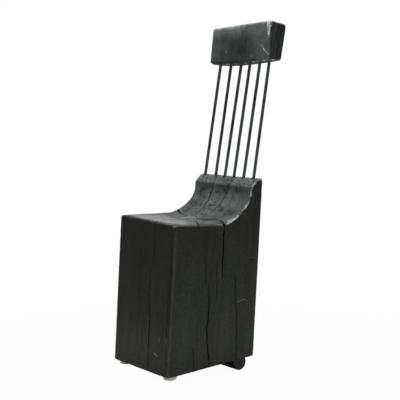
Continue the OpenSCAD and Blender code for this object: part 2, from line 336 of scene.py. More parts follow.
        # Wax: even on the raised wood, drier in the pores and where the dark marks and painted
        # shade lie
        gloss = add("MapRange", (add("Math", (mottle, fibre), operation="ADD"), 0.7, 1.3,
                                 self.roughness + 0.07, self.roughness - 0.07))
        gloss = add("Math", (polished_and_lit, -0.14, gloss), operation="MULTIPLY_ADD")
        gloss = add("Math", (dark, 0.35, gloss), operation="MULTIPLY_ADD", use_clamp=True)

        # Relief: fibres everywhere, scraper marks and mottle on what is sawn
        fine = add("Bump", {"Height": fibre, "Distance": 0.45 * MM, "Strength": 0.75})
        scraped = add("Math", (add("Math", (scrape, mottle), operation="ADD"), sawn),
                      operation="MULTIPLY")
        normal = add("Bump", {"Height": scraped, "Distance": 0.8 * MM, "Strength": 0.8,
                              "Normal": fine})
        return {"Base Color": colour, "Roughness": gloss, "IOR": self.ior,
                "Specular IOR Level": self.specular, "Normal": normal}

    @staticmethod
    def scratch(add: Adder, place: Socket, start: Point, end: Point, half: float,
                pale: float) -> Socket:
        """Adds one pale scratch, which is thinner than the mesh could carry.

        Args:
            add: Adds one node to the material.
            place: The point that is shaded.
            start: Where the scratch begins, in the chair's frame.
            end: Where it ends.
            half: Half its width in the middle.
            pale: How far it is rubbed, from 0 to 1.

        Returns:
            The scratch's mask.
        """
        run = Vector(end) - Vector(start)
        ahead = add("VectorMath", (
            add("VectorMath", (place, start), operation="SUBTRACT"),
            tuple(run / run.length_squared)), "Value", operation="DOT_PRODUCT")
        nearest = add("VectorMath", (tuple(run), add("Clamp", (ahead,)), start),
                      operation="MULTIPLY_ADD")
        gap = add("VectorMath", (place, nearest), "Value", operation="DISTANCE")
        return add("MapRange", (gap, 0.3 * half, half, pale, 0.0), **EASED)


@dataclass(frozen=True)
class TurnedOak(Finish):
    """The same stained oak, turned between centres and run on the floor.

    The lathe leaves fine rings round the axis on tread and end face. The floor
    rubs a duller, slightly paler skin on the tread and fills it with dust. The
    end face has been cleaned between its centre mark and its rim.
    """

    name: str = "turned ebonised oak"
    # A point on the roller's axis
    centre: Point = (0.0, 0.0, 0.0)
    stain: str = "#191a19"
    ring: str = "#252625"
    dust: str = "#484945"
    fibre_mm: Point = (40.0, 2.4, 2.4)
    scuff_mm: Point = (14.0, 14.0, 14.0)
    # Spacing of the tool's marks, drawn coarser than the real half millimetre
    tool_mm: float = 2.2
    # Radii between which the end face is cleaned, with the widths of the change
    cleaned_mm: tuple[float, float, float, float] = (3.0, 10.0, 15.0, 22.0)
    cleaned: float = 0.34
    roughness: float = 0.58
    ior: float = 1.46
    specular: float = 0.25

    def surface(self, add: Adder, place: Socket) -> dict[str, Socket | float]:
        """Lays fibres, turning marks, cleaned ring and dust round the roller's axis.

        Args:
            add: Adds one node to the material.
            place: The point that is shaded.

        Returns:
            The shader's inputs by name.
        """
        turned = add("Mapping", {"Vector": place, "Location": tuple(-c for c in self.centre)})
        rings, lines = (
            add("TexWave", {"Vector": turned, "Scale": math.tau / 20 / (self.tool_mm * MM),
                            "Distortion": bent, "Detail": 2.0}, "Fac", wave_type=kind)
            for kind, bent in (("RINGS", 0.6), ("BANDS", 0.8)))
        fibre, scuff = (
            add("TexNoise", {"Vector": add("Mapping", {"Vector": turned,
                                                       "Scale": per_metre(*cell)}),
                             "Scale": 1.0, "Detail": detail, "Roughness": rough})
            for cell, detail, rough in ((self.fibre_mm, 4.0, 0.5), (self.scuff_mm, 6.0, 0.68)))
        radius = add("VectorMath", (
            add("VectorMath", (turned, (0.0, 1.0, 1.0)), operation="MULTIPLY"),),
            "Value", operation="LENGTH")
        inner, clean, dull, outer = (r * MM for r in self.cleaned_mm)
        bright = add("Math", (
            add("MapRange", (radius, inner, clean, 0.0, self.cleaned), **EASED),
            add("MapRange", (radius, dull, outer, 1.0, 0.0), **EASED)), operation="MULTIPLY")
        dusty = add("MapRange", (scuff, 0.5, 0.78, 0.0, 0.5), **EASED)
        colour = linear(self.stain)
        for share, tint in ((fibre, self.ring), (bright, self.dust), (dusty, self.dust)):
            colour = add("Mix", {0: share, 6: colour, 7: linear(tint)}, 2, **COLOURS)
        gloss = add("MapRange", (scuff, 0.3, 0.75, self.roughness - 0.06,
                                 self.roughness + 0.16))
        height = add("Math", (add("Math", (rings, lines), operation="ADD"), fibre),
                     operation="ADD")
        normal = add("Bump", {"Height": height, "Distance": 0.12 * MM, "Strength": 0.7})
        return {"Base Color": colour, "Roughness": gloss, "IOR": self.ior,
                "Specular IOR Level": self.specular, "Normal": normal}


@dataclass(frozen=True)
class BlackenedSteel(Finish):
    """Hot-rolled bar that is oiled while hot, so that its scale turns black.

    The oxide keeps the faint cloudy patches of the mill scale and a soft gloss
    from the oil, and its high places rub through to a dull grey.
    """

    name: str = "blackened steel"
    scale: str = "#303334"
    cloud: str = "#565c5e"
    rubbed: str = "#7c8283"
    # Clouds of mill scale, a few millimetres round and longer along the bar
    cloud_mm: Point = (5.0, 5.0, 34.0)
    grit_mm: Point = (1.6, 1.6, 1.6)
    # Heights above the floor between which a bar keeps its darkest scale
    dark_from: float = 0.69
    dark_to: float = 0.83
    dark_fade: float = 0.08
    metallic: float = 0.3
    roughness: float = 0.72
    specular: float = 0.2

    def surface(self, add: Adder, place: Socket) -> dict[str, Socket | float]:
        """Lays scale, its clouds and rubbed places, the same on bars and brackets.

        Args:
            add: Adds one node to the material.
            place: The point that is shaded.

        Returns:
            The shader's inputs by name.
        """
        cloud, grit = (
            add("TexNoise", {"Vector": add("Mapping", {"Vector": place,
                                                       "Scale": per_metre(*cell)}),
                             "Scale": 1.0, "Detail": detail, "Roughness": 0.6})
            for cell, detail in ((self.cloud_mm, 5.0), (self.grit_mm, 3.0)))
        middle, half = (self.dark_from + self.dark_to) / 2, (self.dark_to - self.dark_from) / 2
        away = add("Math", (add("SeparateXYZ", (place,), "Z"), middle), operation="SUBTRACT")
        reached = add("MapRange", (add("Math", (away,), operation="ABSOLUTE"), half,
                                   half + self.dark_fade, 0.0, 0.6), **EASED)
        cloudy = add("Math", (add("MapRange", (cloud, 0.38, 0.66), **EASED), reached),
                     operation="ADD", use_clamp=True)
        bare = add("MapRange", (cloud, 0.64, 0.76, 0.0, 0.6), **EASED)
        colour = linear(self.scale)
        for share, tint in ((cloudy, self.cloud), (bare, self.rubbed)):
            colour = add("Mix", {0: share, 6: colour, 7: linear(tint)}, 2, **COLOURS)
        gloss = add("MapRange", (cloud, 0.3, 0.7, self.roughness + 0.1, self.roughness - 0.08))
        normal = add("Bump", {"Height": add("Math", (cloud, grit), operation="ADD"),
                              "Distance": 0.25 * MM, "Strength": 0.6})
        return {"Base Color": colour, "Metallic": self.metallic, "Roughness": gloss,
                "Specular IOR Level": self.specular, "Normal": normal}


@dataclass(frozen=True)
class MouldedNylon(Finish):
    """Natural nylon, injection moulded and yellowed by age.

    It is an even ivory with a soft skin gloss and a little light under its
    surface. The rim that slides on the floor is scuffed matt and holds dirt.
    """

    name: str = "moulded nylon"
    ivory: str = "#f6f1dd"
    aged: str = "#e2dabd"
    dirt: str = "#6c685c"
    # Height of the scuffed rim above the floor
    rim_mm: float = 3.0
    blotch_mm: Point = (9.0, 9.0, 9.0)
    scuff_mm: Point = (1.2, 1.2, 0.5)
    roughness: float = 0.42
    ior: float = 1.53
    subsurface: float = 0.12

    def surface(self, add: Adder, place: Socket) -> dict[str, Socket | float]:
        """Lays the aged ivory and the dirt of the scuffed rim.

        Args:
            add: Adds one node to the material.
            place: The point that is shaded.

        Returns:
            The shader's inputs by name.
        """
        blotch, scuffs = (
            add("TexNoise", {"Vector": add("Mapping", {"Vector": place,
                                                       "Scale": per_metre(*cell)}),
                             "Scale": 1.0, "Detail": detail, "Roughness": rough})
            for cell, detail, rough in ((self.blotch_mm, 4.0, 0.6), (self.scuff_mm, 3.0, 0.7)))
        low = add("MapRange", (add("SeparateXYZ", (place,), "Z"), 0.3 * MM, self.rim_mm * MM,
                               1.0, 0.0), **EASED)
        soiled = add("Math", (low, scuffs), operation="MULTIPLY")
        colour = linear(self.ivory)
        for share, tint in ((blotch, self.aged), (soiled, self.dirt)):
            colour = add("Mix", {0: share, 6: colour, 7: linear(tint)}, 2, **COLOURS)
        gloss = add("MapRange", (soiled, 0.0, 1.0, self.roughness, self.roughness + 0.4))
        normal = add("Bump", {"Height": scuffs, "Distance": 0.05 * MM, "Strength": 0.5})
        return {"Base Color": colour, "Roughness": gloss, "IOR": self.ior,
                "Subsurface Weight": self.subsurface, "Subsurface Scale": 2 * MM,
                "Normal": normal}


@dataclass(frozen=True)
class BareMetal(Finish):
    """A bare or plated metal part: its colour, and how evenly it is finished.

    Plated zinc has a cloudy bluish passivation over a satin ground, and cast
    bronze that a shaft runs in is rubbed bright over its brown skin.
    """

    metal: str
    tarnish: str
    roughness: float
    # Cells of the plating or casting skin, drawn as coarse as they show
    cell_mm: float
    # Spacing of the lines that a tool left round the part
    tool_mm: float

    def surface(self, add: Adder, place: Socket) -> dict[str, Socket | float]:
        """Lays the clouded metal and the lines of the tool.

        Args:
            add: Adds one node to the material.
            place: The point that is shaded.

        Returns:
            The shader's inputs by name.
        """
        cloud, tool = (
            add("TexNoise", {"Vector": add("Mapping", {"Vector": place,
                                                       "Scale": per_metre(*cell)}),
                             "Scale": 1.0, "Detail": detail, "Roughness": rough})
            for cell, detail, rough in (((self.cell_mm,) * 3, 5.0, 0.62),
                                        ((self.tool_mm, 12.0, 12.0), 3.0, 0.7)))
        colour = add("Mix", {0: add("MapRange", (cloud, 0.4, 0.72), **EASED),
                             6: linear(self.metal), 7: linear(self.tarnish)}, 2, **COLOURS)
        gloss = add("MapRange", (cloud, 0.3, 0.75, self.roughness - 0.06,
                                 self.roughness + 0.14))
        normal = add("Bump", {"Height": tool, "Distance": 0.06 * MM, "Strength": 0.6})
        return {"Base Color": colour, "Metallic": 1.0, "Roughness": gloss, "Normal": normal}


# Fields of values over points, and shells that cut

def lattice_noise(points_mm: Array, cell_mm: Point, seed: int, octaves: int = 2) -> Array:
    """Smooth seeded noise at many points at once.

    Args:
        points_mm: Points, one to a row.
        cell_mm: Size of one cell of the noise along each axis.
        seed: Picks the pattern.
        octaves: How many patterns are laid over each other, each half as coarse.

    Returns:
        One value to a point, from about -1 to 1.
    """
    size = 32
    total = np.zeros(len(points_mm))
    weight = 0.0
    for octave in range(octaves):
        table = np.random.default_rng(seed + 101 * octave).uniform(-1, 1, (size,) * 3)
        cells = points_mm / np.asarray(cell_mm) * 2 ** octave + 7.3 * (octave + 1)
        low = np.floor(cells).astype(int)
        part = cells - low
        part = part * part * (3 - 2 * part)
        value = np.zeros(len(points_mm))
        for corner in np.ndindex(2, 2, 2):
            share = np.prod(np.where(corner, part, 1 - part), axis=1)
            value += share * table[tuple(((low + corner) % size).T)]
        total += value * 0.5 ** octave
        weight += 0.5 ** octave
    # Their mean seldom comes near either end, so it is spread wider
    return total / weight * 1.6


def rise(value: float | Array, low: float | Array, high: float | Array) -> Array:
    """Turns values from low to high into 0 to 1, with no corners."""
    t = np.clip((value - low) / (high - low), 0, 1)
    return t * t * (3 - 2 * t)


def fall(value: float | Array, low: float | Array, high: float | Array) -> Array:
    """Turns values from low to high into 1 to 0, with no corners."""
    return 1 - rise(value, low, high)


def line_gap(points: Array, line: tuple[Point, ...]) -> Array:
    """Distance of each point from a line of straight runs.

    Args:
        points: The points.
        line: The line's corners, in the same unit.

    Returns:
        One distance to a point.
    """
    corners = np.array(line, float)
    nearest = np.full(len(points), np.inf)
    for start, end in zip(corners, corners[1:]):
        run = end - start
        t = np.clip(((points - start) @ run) / (run @ run), 0, 1)
        gap = np.linalg.norm(points - (start + t[:, None] * run), axis=1)
        nearest = np.minimum(nearest, gap)
    return nearest


def ring_shell(rings: list[list[Point]]) -> Shell:
    """Joins rings of as many points each into one closed shell with flat ends.

    Args:
        rings: The rings, from one end to the other.

    Returns:
        Corners and faces of the shell.
    """
    count = len(rings[0])
    faces: list[tuple[int, ...]] = []
    for k in range(len(rings) - 1):
        for j in range(count):
            a, b = k * count + j, k * count + (j + 1) % count
            faces += [(a, b, b + count), (a, b + count, a + count)]
    last = (len(rings) - 1) * count
    faces += [tuple(range(count))[::-1], tuple(range(last, last + count))]
    return [tuple(p) for ring in rings for p in ring], faces


def tube_shell(start: Vector, end: Vector, r_start: float, r_end: float,
               sides: int = 48) -> Shell:
    """A closed round cutter between two points, with its radius at each.

    Args:
        start: Middle of one end.
        end: Middle of the other.
        r_start: Radius at the one end.
        r_end: Radius at the other.
        sides: How many sides stand for the round.

    Returns:
        Corners and faces of the cutter.
    """
    axis = (end - start).normalized()
    across = axis.orthogonal().normalized()
    up = axis.cross(across)
    turns = [math.tau * k / sides for k in range(sides)]
    return ring_shell([[tuple(p + (across * math.cos(a) + up * math.sin(a)) * r)
                        for a in turns] for p, r in ((start, r_start), (end, r_end))])


def box_shell(low: Vector, high: Vector) -> Shell:
    """A closed box cutter between two corners."""
    return ring_shell([[(low.x, low.y, z), (high.x, low.y, z), (high.x, high.y, z),
                        (low.x, high.y, z)] for z in (low.z, high.z)])


# Marks of drying, tools and use

@dataclass(frozen=True)
class Crack:
    """A drying crack: a wedge that follows the grain into the wood.

    path_mm are points near the surface, measured from the datum, and into is
    the way that the crack goes inwards. Its ends either close in the wood or
    run out through an edge.
    """

    path_mm: tuple[Point, ...]
    into: Point
    width_mm: float
    depth_mm: float
    runs_out: tuple[bool, bool] = (False, False)
    step_mm: float = 5.0
    lift_mm: float = 5.0
    search_mm: float = 14.0
    # How far the line strays from step to step, for good and for one step
    wander_mm: float = 0.45
    ragged_mm: float = 0.22
    # Longest run over which an end closes
    ease_mm: float = 60.0

    def blade(self, rng: np.random.Generator, skin: BVHTree) -> tuple[Shell, Array]:
        """Builds the wedge that cuts the crack.

        Args:
            rng: Gives the wander of its line and the change of its width.
            skin: The wood's surface, which the line is laid on.

        Returns:
            Corners and faces of the wedge in metres, and its line in millimetres.
        """
        given = np.array(self.path_mm, float) + DATUM_MM
        reach = np.r_[0, np.cumsum(np.linalg.norm(np.diff(given, axis=0), axis=1))]
        count = max(6, int(reach[-1] / self.step_mm))
        at = np.linspace(0, reach[-1], count)
        line = np.stack([np.interp(at, reach, given[:, k]) for k in range(3)], axis=1)
        for _ in range(3):
            line[1:-1] = (line[:-2] + 2 * line[1:-1] + line[2:]) / 4
        inwards = np.array(self.into, float)
        inwards /= np.linalg.norm(inwards)
        side = np.cross(np.gradient(line, axis=0), inwards)
        side /= np.linalg.norm(side, axis=1)[:, None]
        wander = np.cumsum(rng.normal(0, self.wander_mm, count))
        wander -= np.linspace(wander[0], wander[-1], count)
        line += side * (wander + rng.normal(0, self.ragged_mm, count))[:, None]
        # The line is laid on the skin, and spans what its rays miss
        depths = np.full(count, np.nan)
        for k, start in enumerate(line - inwards * self.search_mm):
            found = skin.ray_cast(Vector(start * MM), Vector(inwards), 2 * self.search_mm * MM)[3]
            if found is not None:
                depths[k] = found / MM - self.search_mm
        met = np.flatnonzero(~np.isnan(depths))
        line += inwards * np.interp(np.arange(count), met, depths[met])[:, None]
        width = self.width_mm * np.clip(1 + rng.normal(0, 0.22, count), 0.5, 1.6)
        closing = np.ones(count)
        ease = min(0.35 * reach[-1], self.ease_mm)
        for gone, runs_out in zip((at, reach[-1] - at), self.runs_out):
            if not runs_out:
                closing *= np.clip(gone / ease, 0.02, 1) ** 0.7
        width, depth = width * closing, self.depth_mm * (0.25 + 0.75 * closing)
        wide = side * width[:, None] / 2 * (1 + self.lift_mm / depth)[:, None]
        top = line - inwards * self.lift_mm
        edges = (top - wide, line + inwards * depth[:, None], top + wide)
        return ring_shell([[tuple(edge[k] * MM) for edge in edges] for k in range(count)]), line


@dataclass(frozen=True)
class Scratch:
    """A pale scratch, measured from the datum, on the face that into points to."""

    start_mm: Point
    end_mm: Point
    into: Point
    half_mm: float
    pale: float = 0.75


@dataclass(frozen=True)
class Gouge:
    """A short mark where the tool or a pore tore out a splinter."""

    place: Vector
    normal: Vector
    run: Vector
    length: float
    width: float
    depth: float

    def shell(self) -> Shell:
        """Builds the stretched octahedron that cuts the mark.

        Returns:
            Its corners and faces in metres.
        """
        along = self.run * self.length / 2
        aside = self.normal.cross(self.run).normalized() * self.width / 2
        deep = self.normal * self.depth
        corners = [tuple(self.place + way) for way in (-along, along, aside, deep, -aside, -deep)]
        return corners, [face for a, b in ((2, 3), (3, 4), (4, 5), (5, 2))
                         for face in ((0, b, a), (1, a, b))]


class WorkedWood:
    """A wooden solid that is remeshed finely and then worked like wood."""

    def __init__(self, name: str, node: str, voxel_mm: float) -> None:
        """Copies a CAD node and gives it an even, fine mesh.

        Args:
            name: The new piece's name.
            node: The CAD node that it is cut from and stands for.
            voxel_mm: Edge of one cell of the fine mesh.
        """
        self.node = node
        self.low, self.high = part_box(node)
        self.dark_mouths: list[tuple[Array, float]] = []
        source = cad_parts[node].data.copy()
        with opened(source) as work:
            bmesh.ops.remove_doubles(work, verts=work.verts, dist=1e-6)
        self.piece = put(name, source)
        fine = self.piece.modifiers.new("fine mesh", "REMESH")
        fine.mode = "VOXEL"
        fine.voxel_size = voxel_mm * MM
        fine.use_smooth_shade = True
        self.apply()

    def apply(self) -> None:
        """Turns the piece's modifiers into its mesh and reads its points."""
        graph = bpy.context.evaluated_depsgraph_get()
        mesh = bpy.data.meshes.new_from_object(self.piece.evaluated_get(graph))
        self.piece.modifiers.clear()
        self.piece.data = mesh
        self.load_points()

    def load_points(self) -> None:
        """Reads points, normals and edges of the mesh as arrays."""
        mesh = self.piece.data
        read = []
        for rows, name, width in ((mesh.vertices, "co", 3), (mesh.vertex_normals, "vector", 3),
                                  (mesh.edges, "vertices", 2)):
            values = np.empty(len(rows) * width, np.float32 if width == 3 else np.int32)
            rows.foreach_get(name, values)
            read.append(values.reshape(-1, width))
        self.points, self.normals = (values.astype(float) for values in read[:2])
        self.edges = read[2]
        self.valence = np.maximum(np.bincount(self.edges.ravel(), minlength=len(self.points)), 1)

    def store_points(self) -> None:
        """Writes the points back and reads the new normals."""
        self.piece.data.vertices.foreach_set("co", self.points.astype(np.float32).ravel())
        self.piece.data.update()
        self.load_points()

    def datum_mm(self) -> Array:
        """The points in millimetres from the datum."""
        return self.points / MM - DATUM_MM

    def edges_mean(self, at_first: Array, at_second: Array) -> Array:
        """Mean over a point's edges of what each edge gives to its two ends.

        Args:
            at_first: What each edge gives to its first point.
            at_second: What it gives to its second.

        Returns:
            One value to a point.
        """
        first, second = self.edges.T
        return (np.bincount(first, at_first, len(self.points))
                + np.bincount(second, at_second, len(self.points))) / self.valence

    def neighbours_mean(self, values: Array) -> Array:
        """Mean of a value over each point's neighbours."""
        first, second = self.edges.T
        return self.edges_mean(values[second], values[first])

    def fair(self, rounds: int, share: Array | float = 1.0) -> None:
        """Smooths away the solid's facets without shrinking its edges.

        Args:
            rounds: Pairs of one step in and one step out.
            share: How far each point takes part, from 0 to 1.
        """
        for step in (0.5, -0.52) * rounds:
            mean = np.stack([self.neighbours_mean(column) for column in self.points.T], axis=1)
            self.points += step * np.reshape(share, (-1, 1)) * (mean - self.points)
        self.store_points()

    def convexity(self, rounds: int = 2) -> Array:
        """Curvature at each point in 1/m, above 0 on outer edges.

        Args:
            rounds: How often it is evened out over the neighbours.

        Returns:
            One value to a point.
        """
        first, second = self.edges.T
        run = self.points[second] - self.points[first]
        bend = self.normals[second] - self.normals[first]
        value = (run * bend).sum(1) / np.maximum((run * run).sum(1), 1e-10)
        mean = self.edges_mean(value, value)
        for _ in range(rounds):
            mean = (mean + self.neighbours_mean(mean)) / 2
        return mean

    def press(self, depth_mm: Array) -> None:
        """Moves each point inwards along its normal, and never out of its node's box.

        Args:
            depth_mm: How far, with outwards below 0.
        """
        self.points -= self.normals * np.asarray(depth_mm)[:, None] * MM
        self.points = np.clip(self.points, np.array(self.low), np.array(self.high))
        self.store_points()

    def cut(self, name: str, shells: list[Shell]) -> None:
        """Cuts closed shells, which don't touch each other, out of the wood.

        Args:
            name: Name of the cutter while it is in use.
            shells: Corners and faces of each, in metres.
        """
        corners: list[Point] = []
        faces: list[tuple[int, ...]] = []
        for own_corners, own_faces in shells:
            faces += [tuple(i + len(corners) for i in face) for face in own_faces]
            corners += own_corners
        mesh = bpy.data.meshes.new(name)
        mesh.from_pydata(corners, [], faces)
        with opened(mesh) as work:
            bmesh.ops.recalc_face_normals(work, faces=work.faces)
        cutter = put(name, mesh)
        saw = self.piece.modifiers.new(name, "BOOLEAN")
        saw.operation = "DIFFERENCE"
        saw.solver = "MANIFOLD"
        saw.object = cutter
        before = len(self.points)
        self.apply()
        bpy.data.objects.remove(cutter)
        bpy.data.meshes.remove(mesh)
        log.info("%s: %s changed %d points to %d", self.piece.name, name, before,
                 len(self.points))

    def skin(self) -> BVHTree:
        """The surface as it is now, for rays to meet."""
        return BVHTree.FromObject(self.piece, bpy.context.evaluated_depsgraph_get())

    def split(self, name: str, cracks: tuple[Crack, ...], rng: np.random.Generator,
              apart: bool = False) -> None:
        """Opens drying cracks and remembers their mouths, which get dirt and painted shade.

        Args:
            name: Name of the cutter while it is in use.
            cracks: The cracks.
            rng: Gives their wander.
            apart: Whether each is cut by itself, because they cross each other.
        """
        skin = self.skin()
        blades = []
        for crack in cracks:
            shell, line = crack.blade(rng, skin)
            blades.append(shell)
            self.dark_mouths.append((line, crack.width_mm / 2))
        for number, group in enumerate([[b] for b in blades] if apart else [blades], 1):
            self.cut(f"{name} {number}", group)

    def scratched(self, scratches: tuple[Scratch, ...]) -> tuple:
        """Lays scratches on the surface as it is now.

        Args:
            scratches: The scratches.

        Returns:
            Start, end, half width in millimetres and paleness of each.
        """
        skin = self.skin()
        laid = []
        for scratch in scratches:
            ends = []
            for point in (scratch.start_mm, scratch.end_mm):
                start = Vector((np.array(point) + DATUM_MM) * MM)
                inwards = Vector(scratch.into)
                met = skin.ray_cast(start - inwards * 12 * MM, inwards, 30 * MM)[0]
                ends.append(tuple(met or start))
            laid.append((*ends, scratch.half_mm, scratch.pale))
        return tuple(laid)

    def dirt(self, spread_mm: float = 1.6) -> Array:
        """How close each point lies to the mouth of a crack or gouge, which is painted dark as
        dirt and shade.

        Args:
            spread_mm: How far the painted dirt and shade spread beside a mouth.

        Returns:
            Values from 0 to 1.
        """
        mm = self.points / MM
        close = np.zeros(len(mm))
        for line, half in self.dark_mouths:
            near = np.flatnonzero(((mm > line.min(0) - 6) & (mm < line.max(0) + 6)).all(1))
            close[near] = np.maximum(close[near], fall(line_gap(mm[near], line), half,
                                                       half + spread_mm))
        return close

    def plane_off(self, point_mm: Point, normal: Point) -> None:
        """Planes off what stands out beyond a plane, given by a point and its outward normal.

        Args:
            point_mm: A point of the plane, from the datum.
            normal: The way out of the wood.
        """
        out = np.array(normal) / np.linalg.norm(normal)
        above = (self.points / MM - np.array(point_mm) - DATUM_MM) @ out
        self.points -= np.maximum(above, 0)[:, None] * out * MM

    def mark(self, **masks: Array) -> None:
        """Stores masks from 0 to 1 on the mesh, where the material reads them.

        Args:
            masks: The values of each mask by its name.
        """
        for name, values in masks.items():
            layer = self.piece.data.attributes.new(name, "FLOAT", "POINT")
            layer.data.foreach_set("value", np.clip(values, 0, 1).astype(np.float32))

    def finish(self, material: bpy.types.Material, slot: str, sharp: float) -> None:
        """Shades, dresses and mounts the piece.

        Args:
            material: Its finish.
            slot: The slot that its material fills; not used.
            sharp: Angle in degrees above which an edge stays crisp.
        """
        self.piece.data.shade_smooth()
        self.piece.data.set_sharp_from_angle(angle=math.radians(sharp))
        wear_material(self.piece, material)
        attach(self.piece, CHAIR)
        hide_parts(self.node)
        log.info("%s: %d faces", self.piece.name, len(self.piece.data.polygons))


# Sub-assemblies

@dataclass
class RodBack:
    """The six steel rods that stand in the shelf and carry the headrest."""

    names: tuple[str, ...] = tuple(f"rod_{i}" for i in range(1, 7))
    radius: float = 4.75 * MM

    def lines(self) -> list[tuple[Vector, Vector]]:
        """Lower and upper end of each rod's axis, from its solid's points.

        Returns:
            One pair of ends to each rod.
        """
        found = []
        for name in self.names:
            points = np.array([v.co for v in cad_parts[name].data.vertices])
            middle = points.mean(0)
            axis = np.linalg.svd(points - middle, full_matrices=False)[2][0]
            axis *= np.sign(axis[2])
            reach = (points - middle) @ axis
            found.append((Vector(middle + axis * reach.min()),
                          Vector(middle + axis * reach.max())))
        return found

    def gap_mm(self, points: Array) -> Array:
        """Distance of each point from the nearest rod's axis in millimetres."""
        return np.min([line_gap(points, ends) for ends in self.lines()], axis=0) / MM

    def dress(self, material: bpy.types.Material) -> None:
        """Gives the rods their finish."""
        wear_nodes(material, *self.names)
        log.info("rods: %d bars dressed", len(self.names))


@dataclass
class SeatBeam:
    """The leaning beam with its scoop, its cracks and the wear of its edges."""

    rods: RodBack
    voxel_mm: float = 2.5
    front_slope: float = math.tan(math.radians(3.6))
    side_x: float = 0.1525
    side_slope: float = 5 / 580
    depth: float = 0.307
    # Lowest point of the seat, where it turns into the ramp at +X
    seat_low: float = 0.4365
    hewn_mm: float = 0.9
    # Length of each rod from its foot to the mouth of its socket
    socket_mm: float = 41.0
    # Room round a glide in its bed, and round the rollers in their recess
    glide_room_mm: float = 0.5
    roller_room_mm: float = 3.0
    gouges: int = 90
    pits: int = 130
    seed: int = 41

    # Cracks that run down the upright faces, seen in the photograph
    FACE_CRACKS = (
        Crack(((47, 31, 462), (47.4, 27, 426), (54.3, 24.5, 389), (51.8, 22, 346),
               (50, 20.5, 318)), (-0.2, 1, 0), 1.5, 22, (True, False)),
        Crack(((33.6, 20, 326), (32, 18, 291), (36, 17, 277), (34, 15.4, 244),
               (36.4, 14, 221), (44.5, 11, 178), (42, 8.4, 134), (43, 4.7, 75), (46, 1.4, 22),
               (47, 1, 6)), (-0.35, 1, 0), 2.2, 34, (False, True)),
        Crack(((138, 27, 424), (141, 22, 356), (141, 17, 264), (138.5, 12.5, 198),
               (141, 6, 100), (142, 3, 44), (142, 1, 6)), (0, 1, 0), 1.1, 6, (False, True)),
        Crack(((157, 197, 446), (156.5, 198, 428), (156, 197, 412), (156, 194.5, 365),
               (155, 192, 288)), (-1, 0.12, 0), 3.4, 40, (True, False)),
        Crack(((154, 143, 270), (154, 144.5, 225), (154, 136.5, 144), (153, 137.5, 96),
               (153, 145.5, 34), (153, 146.5, 6)), (-1, 0.3, 0), 2.6, 34, (False, True)),
        Crack(((155, 238.5, 292), (154, 242.5, 198), (154, 247.5, 152), (153, 243.5, 44),
               (153, 244.5, 22)), (-1, -0.1, 0), 1.3, 16, (False, True)),
        Crack(((155, 133.5, 345), (155, 131.5, 276)), (-1, 0.2, 0), 0.9, 8),
        Crack(((156, 171.8, 345), (155, 172, 310), (154.5, 172.7, 228)), (-1, 0.2, 0), 1.0, 8),
        Crack(((153, 88.5, 90), (152, 93.5, 14)), (-1, 0.3, 0), 0.9, 10, (False, True)),
        Crack(((156, 108, 446), (156, 108.3, 436), (156, 109, 424)), (-1, 0.4, 0), 1.2, 16,
              (True, False)),
        # Those on the faces that the photograph hides are guessed
        Crack(((-156, 252, 462), (-155, 248, 380), (-154, 256, 300), (-154, 253, 240)),
              (1, 0.05, 0), 2.2, 30),
        Crack(((-153, 172, 150), (-153, 166, 80), (-152, 170, 8)), (1, 0, 0), 1.6, 22,
              (False, True)),
        Crack(((38, 338, 566), (34, 333, 470), (41, 328, 380), (36, 325, 330)), (0, -1, 0),
              2.0, 26),
        Crack(((-70, 318, 210), (-76, 313, 120), (-72, 309, 50)), (0.1, -1, 0), 1.5, 20),
    )
    # Cracks that open on the sawn top
    TOP_CRACKS = (
        Crack(((47, 8, 449), (46, 31, 449), (30, 45, 450), (22, 52, 450.5)),
              (0, 0, -1), 1.4, 20, (True, False)),
        Crack(((166, 193, 441), (155, 198.5, 443), (146, 203, 445), (133, 209, 446.6),
               (114, 215.5, 449), (96, 219, 450.3)), (0, 0, -1), 3.4, 32, (True, False)),
        Crack(((100, 218.5, 450.3), (77, 218.3, 450.3), (55, 215.2, 449.7), (39, 212.7, 449.2),
               (20, 211.4, 449.3)), (0, 0, -1), 1.5, 16, (True, False)),
        Crack(((164, 103, 441), (154, 109.5, 442), (132, 122.6, 442.8), (72, 159.3, 442.7),
               (32, 182.3, 443.9)), (0, 0, -1), 1.8, 20, (True, False)),
        Crack(((-150, 234, 464), (-144.3, 231.7, 462.7), (-117.9, 221.7, 458.1),
               (-97, 214.5, 455.4)), (0, 0, -1), 5.0, 28, (True, False)),
        Crack(((-98, 214.5, 455), (-79.2, 211.7, 453.5), (-62, 210, 452)), (0, 0, -1), 0.9, 10),
        Crack(((-62, 336, 578), (-59.4, 321.6, 570.1), (-55, 311, 561), (-50, 301, 548),
               (-51.2, 299.8, 533.2), (-55, 295.9, 517.1), (-54.6, 291.1, 507.3),
               (-49, 276.9, 490.4), (-47.5, 264.6, 478.8), (-47.6, 252.6, 469.7),
               (-42.3, 237.1, 460.9), (-36.5, 223.8, 455.1)), (0, 1, -0.8), 1.7, 18),
        Crack(((52, 338, 578), (39.9, 328.3, 573.3), (38.2, 317.4, 566.8), (37, 311.1, 561.1),
               (42, 299, 549.9), (36, 297.6, 536), (27, 294.9, 519.9), (23.3, 284.9, 500.5),
               (22.6, 273.4, 488.1), (19.2, 263.8, 478.7), (20.2, 253.8, 470.4),
               (19.1, 242.6, 462.9)), (0, 1, -0.8), 1.9, 18),
    )
    # Centres of the knots that the scoop cuts through, and their radii
    KNOTS = (((-116, 299, 522), 16), ((83, 296, 535), 12), ((101, 296, 536), 15),
             ((-23, 269, 483), 13), ((-14, 260.5, 475), 9), ((33, 269, 484), 11),
             ((53.5, 258.6, 474), 12), ((-76, 269.5, 483), 9))
